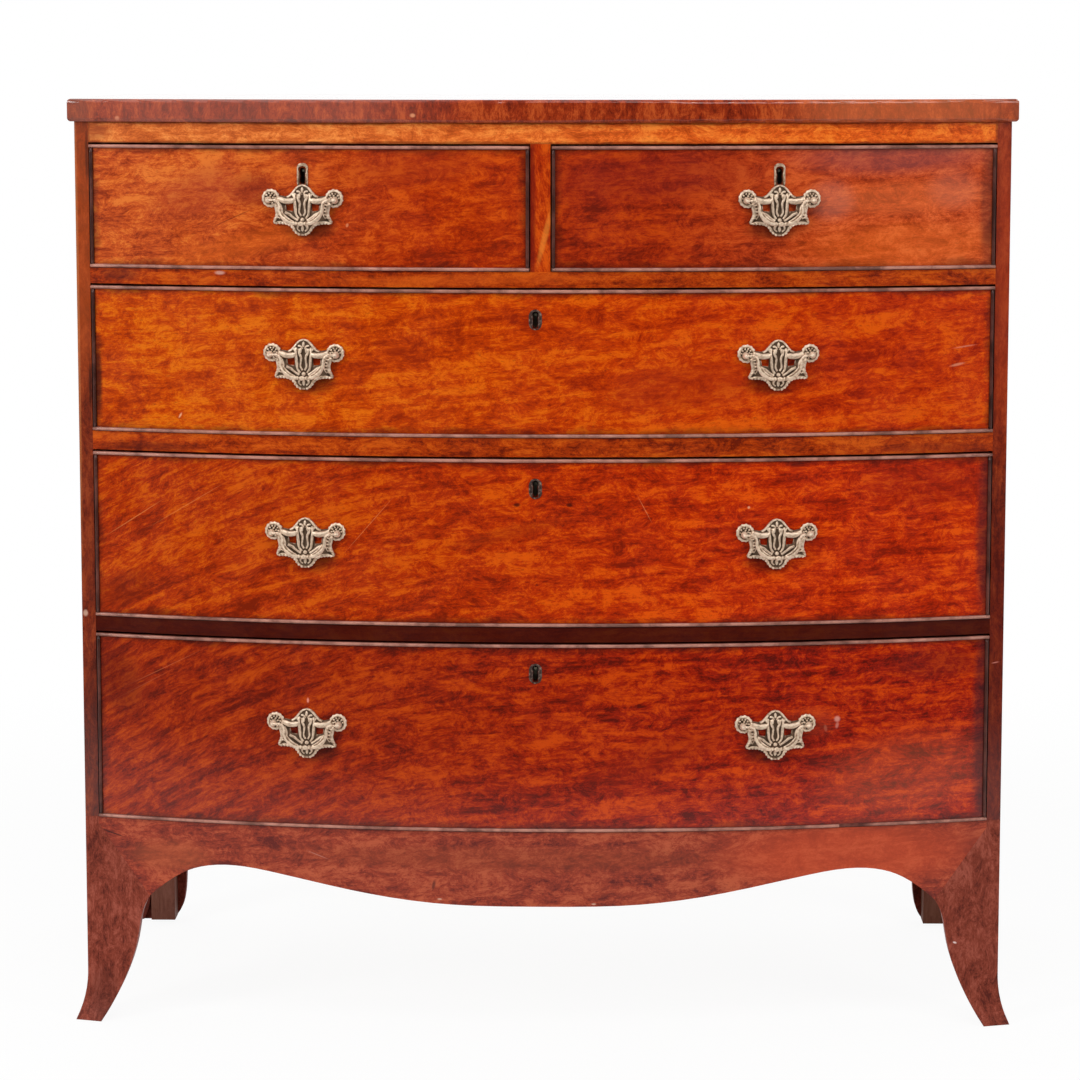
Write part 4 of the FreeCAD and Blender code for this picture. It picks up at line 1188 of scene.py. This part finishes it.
def old_brass():
    finish = Finish("old_brass")
    hollow = finish.node("ShaderNodeAttribute", attribute_name="hollow").outputs["Fac"]
    depth = finish.sum(hollow, finish.swing(finish.patches(0.0042, rough=0.7), 3.4))
    x, y, _ = finish.split()[:3]
    out = finish.less(finish.times(finish.times(x, x), 0.5 / BOW_RADIUS), y)
    # Painted shade where the plate meets the wood.
    depth = finish.sum(depth, finish.spread(out, PLATE_SHADE_FROM, DULL_TO, DULL, 0.0))
    places = [number / (len(BRASS_TONES) - 1) for number in range(len(BRASS_TONES))]
    colour = finish.tones(finish.spread(depth, -1.5, 1.4), places, BRASS_TONES)
    grit = finish.patches(0.0016, detail=4, rough=0.7)
    roughness = finish.spread(depth, -0.4, 0.5, 0.36, 0.62)
    relief = finish.raised(grit, 0.3 * MM, 0.6)
    return finish.done(Base_Color=colour, Metallic=0.35, Roughness=roughness, Normal=relief)


BRASS = old_brass()
print("old brass has", len(BRASS_TONES), "tones")

# %% [markdown]
# ## The back plate
#
# A flat bed holds the plate together: a domed crest that reaches out to the shell over each post, and a
# lower part with a window under each arm and a rounded foot. Its outlines are traced for one half, from
# the top middle to the bottom middle. The back of the bed is tucked a little into the wood, as a plate
# that has been pulled tight for two centuries is.

# %% The bed of the back plate
# Where a post stands, from the middle of its plate, in millimetres.
POST_X, POST_UP = 37.0, 11.0
# How far out the front of the bed lies, and its back.
BED, TUCKED = 2.0, -0.4
CREST = (
    (0, 28.2), (4.6, 27.0), (8.6, 23.8), (11.6, 20.0), (14.8, 16.6), (19, 14.8), (27, 16.0), (31, 12),
    (31, 7), (0, 7),
)
LOWER_BED = (
    (0, 8), (10.2, 8), (10.6, -1.4), (18.0, -0.4), (19.4, 7.6), (31, 8), (29.8, 2), (28.6, -4), (30.2, -9),
    (33.6, -12.4), (32.6, -15.4), (27, -15.0), (20.5, -15.4), (15.6, -16.8), (12.0, -19.8), (9.4, -23.6),
    (6.2, -26.8), (0, -28.2),
)


def whole(half):
    """A closed outline from its half."""
    return [*half, *flip(half[-2:0:-1])]


print("the bed's outlines have", len(whole(CREST)), "and", len(whole(LOWER_BED)), "corners")

# %% [markdown]
# ## The relief of the back plate
#
# The crest rises over an upright cartouche with a narrow eye. A thick arm runs from the cartouche to each
# shell. From each shell a leaf hangs to a side tip, and from there the lower rim swings in to the foot.
# All of it is built up from rolls, with small flutes, beads and bosses set on them.

# %% The relief of the back plate
# Rolls of one half, each a line of (across, out, up, radius).
HALF_PLATE = {
    "crest's rim": (
        (0, 2.2, 27.1, 1.2), (4.0, 2.2, 25.9, 1.3), (7.6, 2.2, 22.8, 1.4), (10.6, 2.3, 19.0, 1.4),
        (13.8, 2.2, 15.6, 1.3), (17.4, 2.3, 13.8, 1.2),
    ),
    "leaf in the crest": ((1.0, 2.4, 16.8, 0.8), (3.4, 2.9, 20.0, 1.2), (6.4, 2.6, 20.4, 1.0)),
    "leaf beside the crest": ((8.8, 2.4, 13.4, 0.9), (10.4, 2.9, 16.0, 1.2), (9.6, 2.5, 18.4, 0.8)),
    "arm": (
        (8.6, 2.6, 11.8, 2.0), (11.5, 3.0, 10.4, 3.1), (16.5, 3.2, 9.7, 3.4), (22, 3.0, 10.6, 3.3),
        (27.5, 2.8, 13.0, 2.6),
    ),
    "cartouche's side": (
        (8.0, 2.6, 18.4, 1.1), (8.8, 3.0, 13.5, 1.7), (8.3, 3.2, 7.5, 1.8), (7.6, 3.1, 1.0, 1.7),
        (6.8, 2.9, -4.6, 1.5), (4.0, 2.7, -9.4, 1.3),
    ),
    "eye's side": (
        (5.6, 2.8, 17.2, 1.1), (4.6, 3.3, 12.4, 1.6), (2.7, 3.5, 7.4, 1.4), (3.0, 3.4, 2.0, 1.2),
        (3.2, 3.2, -2.6, 1.3), (1.3, 3.0, -6.6, 1.2),
    ),
    "leaf under the shell": (
        (30.4, 2.4, 6.5, 2.4), (28.2, 2.9, 0.2, 2.6), (28.2, 2.7, -5.8, 2.3), (30.6, 2.2, -10.6, 1.8),
        (32.0, 1.9, -13.6, 1.3),
    ),
    "leaf's inner edge": (
        (25.4, 2.2, 7.2, 1.2), (23.6, 2.6, 1.2, 1.5), (23.8, 2.5, -4.6, 1.3), (26.4, 2.1, -9.4, 1.1),
    ),
    "lower rim": (
        (32.0, 1.9, -14.2, 1.2), (26.5, 2.2, -13.6, 1.6), (20.5, 2.3, -14.0, 1.7), (15.0, 2.3, -15.4, 1.7),
        (11.0, 2.3, -18.6, 1.5), (8.4, 2.2, -22.6, 1.5), (5.2, 2.1, -25.5, 1.4), (0, 2.0, -26.9, 1.4),
    ),
    "sill of the window": (
        (19.6, 2.3, -2.6, 1.4), (14.6, 2.5, -5.0, 1.6), (10.0, 2.6, -8.4, 1.4), (5.0, 2.6, -11.6, 1.3),
    ),
    "curl in the foot": (
        (1.6, 2.6, -14.6, 1.2), (4.4, 2.8, -16.8, 1.5), (5.2, 2.5, -20.4, 1.3), (2.8, 2.3, -23.2, 1.0),
    ),
}
print(len(HALF_PLATE), "rolls shape each half of a plate")

# %% [markdown]
# ## Small ornaments on the back plate
#
# Flutes run across the leaf under each shell, beads follow the lower rim, and bosses stand on the middle
# line. They are what catches the light, so they are raised a little above the rolls.

# %% Small ornaments on the back plate
# Flutes: (inner end, outer end, up at the inner end).
FLUTES = ((25.4, 31.6, 5.6), (24.2, 30.4, 2.2), (23.8, 30.0, -1.2), (24.4, 30.4, -4.6), (26.0, 31.6, -8.0))
# Small beads along the lower rim: (across, up), and their half sizes.
RIM_BEADS = (
    (29.2, -14.6), (25.6, -14.4), (22.0, -14.6), (18.4, -15.2), (14.8, -16.4), (11.8, -18.8),
    (9.6, -22.0), (7.2, -24.8), (3.8, -26.8),
)
RIM_BEAD = (1.5, 1.7, 1.4)
# Lumps on the middle line and beside it: a place and half sizes.
BOSSES = (
    ((0, 2.7, 22.0), (1.6, 1.7, 3.2)),
    ((-3.4, 3.4, 15.2), (1.7, 2.0, 3.0)),
    ((3.4, 3.4, 15.2), (1.7, 2.0, 3.0)),
    ((0, 3.2, -10.6), (2.3, 1.9, 2.1)),
    ((0, 2.6, -20.4), (1.6, 1.6, 3.2)),
)


def make_plate_wax():
    """The whole pattern of a back plate; the shells are made in the next cell."""
    build = bmesh.new()
    for half in (CREST, LOWER_BED):
        slab(build, whole(half), TUCKED, BED)
    both_halves(build, HALF_PLATE)
    for centre, size in BOSSES:
        lump(build, centre, size)
    for side in (-1, 1):
        for inner, outer, up in FLUTES:
            middle = (inner + outer) / 2
            flute = ((inner, 2.6, up, 0.8), (middle, 4.6, up - 0.3, 1.1), (outer, 2.8, up - 1.6, 0.9))
            stem(build, [(side * x, *rest) for x, *rest in flute])
        for x, up in RIM_BEADS:
            lump(build, (side * x, 2.9, up), RIM_BEAD)
        shell(build, side)
    return build


print("a plate has", 2 * (len(FLUTES) + len(RIM_BEADS)) + len(BOSSES), "small ornaments")

# %% [markdown]
# ## The shell over a post
#
# Each shell is round, with a scalloped edge rolled forward, a sunk ring with small bumps in it, and a
# domed boss. The boss is hollow in the real casting: the head of the post sits inside and holds the pin
# of the drop handle. It stands far out, but nothing nearer the middle does, so the handle can swing.

# %% The shell over a post
# The middle of a shell, then for each ring its radius and the sizes and number of what stands on it.
SHELL_X, SHELL_UP = 35.6, 12.8
EDGE_RING, EDGE_ROLL, SCALLOP, SCALLOPS = 8.1, 1.8, 1.9, 13
BUMP_RING, BUMP, BUMPS = 5.4, (1.3, 2.0, 1.3), 10
INNER_RING, INNER_BUMP = 2.9, (1.2, 2.2, 1.2)
BOSS_CENTRE, BOSS_HALF = (37.2, 7.0, 11.0), (3.6, 7.2, 3.9)


def ring_places(radius, count, shift=0.0):
    """Evenly spaced places (across, up) on a ring around a shell's middle."""
    turns = [2 * math.pi * (number + shift) / count for number in range(count)]
    return [(SHELL_X + radius * math.cos(turn), SHELL_UP + radius * math.sin(turn)) for turn in turns]


def shell(build, side):
    lump(build, (side * SHELL_X, 0.6, SHELL_UP), (EDGE_RING, 1.3, EDGE_RING))
    edge = ring_places(EDGE_RING, 14)
    stem(build, [(side * x, 2.6, up, EDGE_ROLL) for x, up in edge + edge[:1]])
    for x, up in ring_places(EDGE_RING + 0.5, SCALLOPS, 0.5):
        lump(build, (side * x, 2.3, up), (SCALLOP, 1.8, SCALLOP))
    for x, up in ring_places(BUMP_RING, BUMPS):
        lump(build, (side * x, 2.2, up), BUMP)
    for x, up in ring_places(INNER_RING, 5, 0.3):
        lump(build, (side * x, 3.6, up), INNER_BUMP)
    lump(build, (side * BOSS_CENTRE[0], *BOSS_CENTRE[1:]), BOSS_HALF)


PLATE = cast(make_plate_wax(), "back_plate")
plate_width = 2 * max(point.co.x for point in PLATE.vertices) / MM
print("a back plate has", len(PLATE.polygons), "faces and is", round(plate_width, 1), "mm wide")

# %% [markdown]
# ## Plates with a keyhole
#
# On the small drawers the plate reaches up around the keyhole. That part is one more slab for each half,
# and the two overlap a little on the middle line, so that the skin joins them.

# %% Plates with a keyhole
# How far the keyhole's round lies above the middle of the plate, in millimetres.
KEY_RISE = 43.2
KEY_PLATE_HALF = (
    (0.2, 8.2), (3, 7.8), (5.2, 6.2), (6.3, 3.4), (6.1, -2), (6.2, -12), (5.8, -16), (4.2, -18.6),
    (4.6, -22.5), (-0.3, -22.5), (-0.3, -16.4), (3.5, -16.2), (3.4, -3.4), (4.1, -1.0), (4.2, 1.4),
    (3.2, 3.9), (-0.2, 4.8),
)


def make_small_plate_wax():
    build = make_plate_wax()
    for side in (-1, 1):
        slab(build, [(side * x, z + KEY_RISE) for x, z in KEY_PLATE_HALF], TUCKED, BED)
    return build


SMALL_PLATE = cast(make_small_plate_wax(), "back_plate_with_keyhole")
for mesh in (PLATE, SMALL_PLATE):
    mesh.materials.append(BRASS)
print("a plate with a keyhole has", len(SMALL_PLATE.polygons), "faces")

# %% [markdown]
# ## Ovals round the other keyholes
#
# On the wide drawers each keyhole has an oval of dark bronze of its own, let into the wood. Its edge is
# worked out from the keyhole's: each point of the hole is pushed straight out from the oval's middle until
# it meets the oval, so both outlines have the same number of points and plain bands of faces join them.
# The hole is drawn a little wider than the bored one, so that it reads as a hole from across a room.

# %% Ovals
# The keyhole: the radius of its round, half the width of its slot, and how far that reaches down.
KEY_RADIUS, KEY_SLOT, KEY_LENGTH = 3.6, 3.1, 15.4
# The oval's half width, half the length of its straight sides, and how far its middle is below the key.
OVAL_HALF, OVAL_STRAIGHT, OVAL_DROP = 7.2, 4.05, 5.75
# Rings of the oval: share of the way from the hole to the edge, and how far out from the wood.
OVAL_RINGS = ((1.0, -3.0), (1.0, 0.3), (0.86, 0.8), (0.22, 0.7), (0.0, 0.3), (0.0, -3.0))


def key_outline():
    """The keyhole's outline: a slot below and a round above."""
    start = -math.acos(KEY_SLOT / KEY_RADIUS)
    turns = [start + (math.pi - 2 * start) * step / 16 for step in range(17)]
    arc = [(KEY_RADIUS * math.cos(turn), KEY_RADIUS * math.sin(turn)) for turn in turns]
    fall = KEY_LENGTH + arc[0][1]
    side = [(KEY_SLOT, fall * step / 7 - KEY_LENGTH) for step in range(7)]
    foot = [(KEY_SLOT * (step / 3 - 1), -KEY_LENGTH) for step in range(1, 6)]
    return foot + side + arc + flip(side[::-1])


def oval_point(x, z):
    """The point of the oval's edge straight out from a point of the keyhole's edge."""
    across, up = Vector((x, z + OVAL_DROP)).normalized()
    reach = OVAL_HALF / max(abs(across), 1e-6)
    if reach * abs(up) > OVAL_STRAIGHT:
        reach = abs(up) * OVAL_STRAIGHT + math.sqrt(OVAL_HALF**2 - (OVAL_STRAIGHT * across) ** 2)
    return reach * across, reach * up - OVAL_DROP


def make_oval():
    """A closed strip of faces: down the oval's edge, over its front and back through the keyhole."""
    build = bmesh.new()
    loops = []
    for share, out in OVAL_RINGS:
        loop = []
        for x, z in key_outline():
            edge_x, edge_z = oval_point(x, z)
            spot = (x + share * (edge_x - x), -out, z + share * (edge_z - z))
            loop.append(build.verts.new(Vector(spot) * MM))
        loops.append(loop)
    for first, second in zip(loops, loops[1:] + loops[:1]):
        band(build, first, second)
    return to_mesh(build, "keyhole_oval", smooth=False)


def bronze():
    finish = Finish("dark_bronze")
    stain = finish.patches(0.004, detail=4, rough=0.7)
    colour = finish.tones(stain, (0.32, 0.5, 0.66), ("241612", "48322a", "8c7464"))
    return finish.done(Base_Color=colour, Metallic=0.3, Roughness=finish.spread(stain, 0.3, 0.7, 0.4, 0.6),
                       Normal=finish.raised(stain, 0.3 * MM, 0.5))


OVAL_MESH, BRONZE = make_oval(), bronze()
OVAL_MESH.materials.append(BRONZE)
print("an oval has", len(OVAL_MESH.polygons), "faces")

# %% [markdown]
# ## Posts and nuts
#
# Each shell hides the head of a post. The post runs through the drawer front and is held by a round nut
# inside, seen when the drawer is open. Both are turned: a profile is spun about the post's axis.

# %% Turned fixings
# From where to where the nut sits behind the wood's face, its radius, the shank's radius and its end.
NUT_FROM, NUT_TO, NUT_RADIUS, SHANK, SHANK_END = 24.4, 28.4, 7.0, 2.4, 31.3
# The profile: (radius, how deep behind the wood's face).
FIXING = (
    (0, 2), (SHANK, 2), (SHANK, NUT_FROM), (NUT_RADIUS - 0.6, NUT_FROM), (NUT_RADIUS, NUT_FROM + 0.6),
    (NUT_RADIUS, NUT_TO - 0.8), (NUT_RADIUS - 0.8, NUT_TO), (SHANK + 0.9, NUT_TO), (SHANK, NUT_TO - 0.4),
    (SHANK, SHANK_END - 0.6), (SHANK - 0.6, SHANK_END), (0, SHANK_END),
)
# A turned piece has this many sides; points closer together than this, in metres, become one.
TURNED_SIDES, SAME_SPOT = 28, 0.00001


def make_fixings():
    build = bmesh.new()
    up = POST_UP * MM
    for side in (-1, 1):
        profile = [build.verts.new(((side * POST_X + radius) * MM, y * MM, up)) for radius, y in FIXING]
        edges = [build.edges.new(pair) for pair in zip(profile, profile[1:])]
        bmesh.ops.spin(build, geom=profile + edges, cent=(side * POST_X * MM, 0, up), axis=(0, 1, 0),
                       angle=2 * math.pi, steps=TURNED_SIDES, use_merge=True)
    bmesh.ops.remove_doubles(build, verts=build.verts, dist=SAME_SPOT)
    return to_mesh(build, "fixings", smooth=False)


FIXINGS = make_fixings()
FIXINGS.materials.append(BRONZE)
print("the fixings have", len(FIXINGS.polygons), "faces")

# %% [markdown]
# ## The drop handle
#
# It hangs between the shells from a pin at each end and swings up to pull the drawer. It is thin at the
# pins, swells into a leaf on each side, and has a small knop in the middle.

# %% Shapes of the drop handle
HALF_BAIL = {
    "bar": (
        (36.4, 11.5, 11, 1.4), (31.5, 11.5, 11, 1.4), (29.6, 11.5, 10.9, 1.8), (26.3, 11.5, 9.2, 1.9),
        (24.4, 11.5, 5, 1.9), (23.5, 11.5, -0.7, 2.2), (18.7, 11.5, -8.8, 2.8), (11.6, 11.5, -13.3, 2.6),
        (4.9, 11.5, -14.5, 1.8), (0, 11.5, -14.5, 1.8),
    ),
    "leaf on the bar": (
        (23.9, 12.0, 1.0, 0.9), (22.0, 12.8, -4.6, 1.4), (17.6, 13.4, -9.4, 1.6), (11.8, 13.0, -12.8, 1.3),
        (6.4, 12.2, -14.0, 0.8),
    ),
    "leaf's upper edge": (
        (21.4, 12.4, -0.8, 0.6), (18.0, 12.6, -5.8, 1.2), (13.0, 12.4, -9.8, 1.2), (8.0, 12.0, -12.2, 0.7),
    ),
}
# Collars of one half, and the knop in the middle: a place and half sizes.
COLLARS = (((5.2, 11.5, -14.4), (0.9, 2.4, 2.4)), ((28.6, 11.5, 10.6), (0.8, 2.3, 2.3)))
KNOP = ((0, 12.0, -14.6), (3.0, 2.4, 2.7))


def make_bail_wax():
    build = bmesh.new()
    both_halves(build, HALF_BAIL)
    for side in (-1, 1):
        for (x, out, up), size in COLLARS:
            lump(build, (side * x, out, up), size)
    lump(build, *KNOP)
    return build


BAIL = cast(make_bail_wax(), "drop_handle", 0.2)
BAIL.materials.append(BRASS)
print("a drop handle has", len(BAIL.polygons), "faces")

# %% [markdown]
# ## Hanging the handles
#
# The model's hinges say where the handles are: each drop handle turns about an axis that lies a known
# way above and out from the middle of its plate. So the places are worked out from the hinges, and no
# handle can drift from the body that it moves with.

# %% Hanging the handles


def hang_handle(hinge):
    """Sets a plate, its fixings and its drop handle where the hinge is."""
    bail, drawer = hinge["child"], hinge["parent"]
    across, along, up = hinge["pos_m"]
    turn = math.atan2(across, BOW_CENTRE - along)
    spot = (BOW_RADIUS * math.sin(turn), up - POST_UP * MM)
    small = drawer.startswith("top_")
    meshes = ((f"{bail}_plate", SMALL_PLATE if small else PLATE, drawer, f"{drawer}_brasswork"),
              (f"{bail}_fixings", FIXINGS, drawer, f"{drawer}_brasswork"),
              (f"{bail}_cast", BAIL, bail, bail))
    for name, mesh, body, node in meshes:
        piece = seat(put(bpy.data.objects.new(name, mesh)), *spot)
        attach(piece, body)
        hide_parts(node)


for hinge in HINGES:
    hang_handle(hinge)
print(len(HINGES), "handles hung")

# %% [markdown]
# ## Setting the ovals
#
# The locks of the wide drawers sit a little left of the middle, as they often do on hand-made chests. Each
# oval is set by the top of its drawer front, so it stays right if a drawer's height changes.

# %% Setting the ovals
LOCK_X, KEY_DROP = -5.5 * MM, 27.3 * MM
for drawer in ("second_drawer", "third_drawer", "bottom_drawer"):
    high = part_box(f"{drawer}_front")[1]
    oval = seat(put(bpy.data.objects.new(f"{drawer}_keyhole_oval", OVAL_MESH)), LOCK_X, high.z - KEY_DROP)
    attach(oval, drawer)
    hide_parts(f"{drawer}_brasswork")
    print(drawer, "keyhole at", round(high.z - KEY_DROP, 4))

# %% [markdown]
# ## Sizes
#
# Here only the json module is imported.

# %% Sizes
import json

# %% [markdown]
# ## Done
#
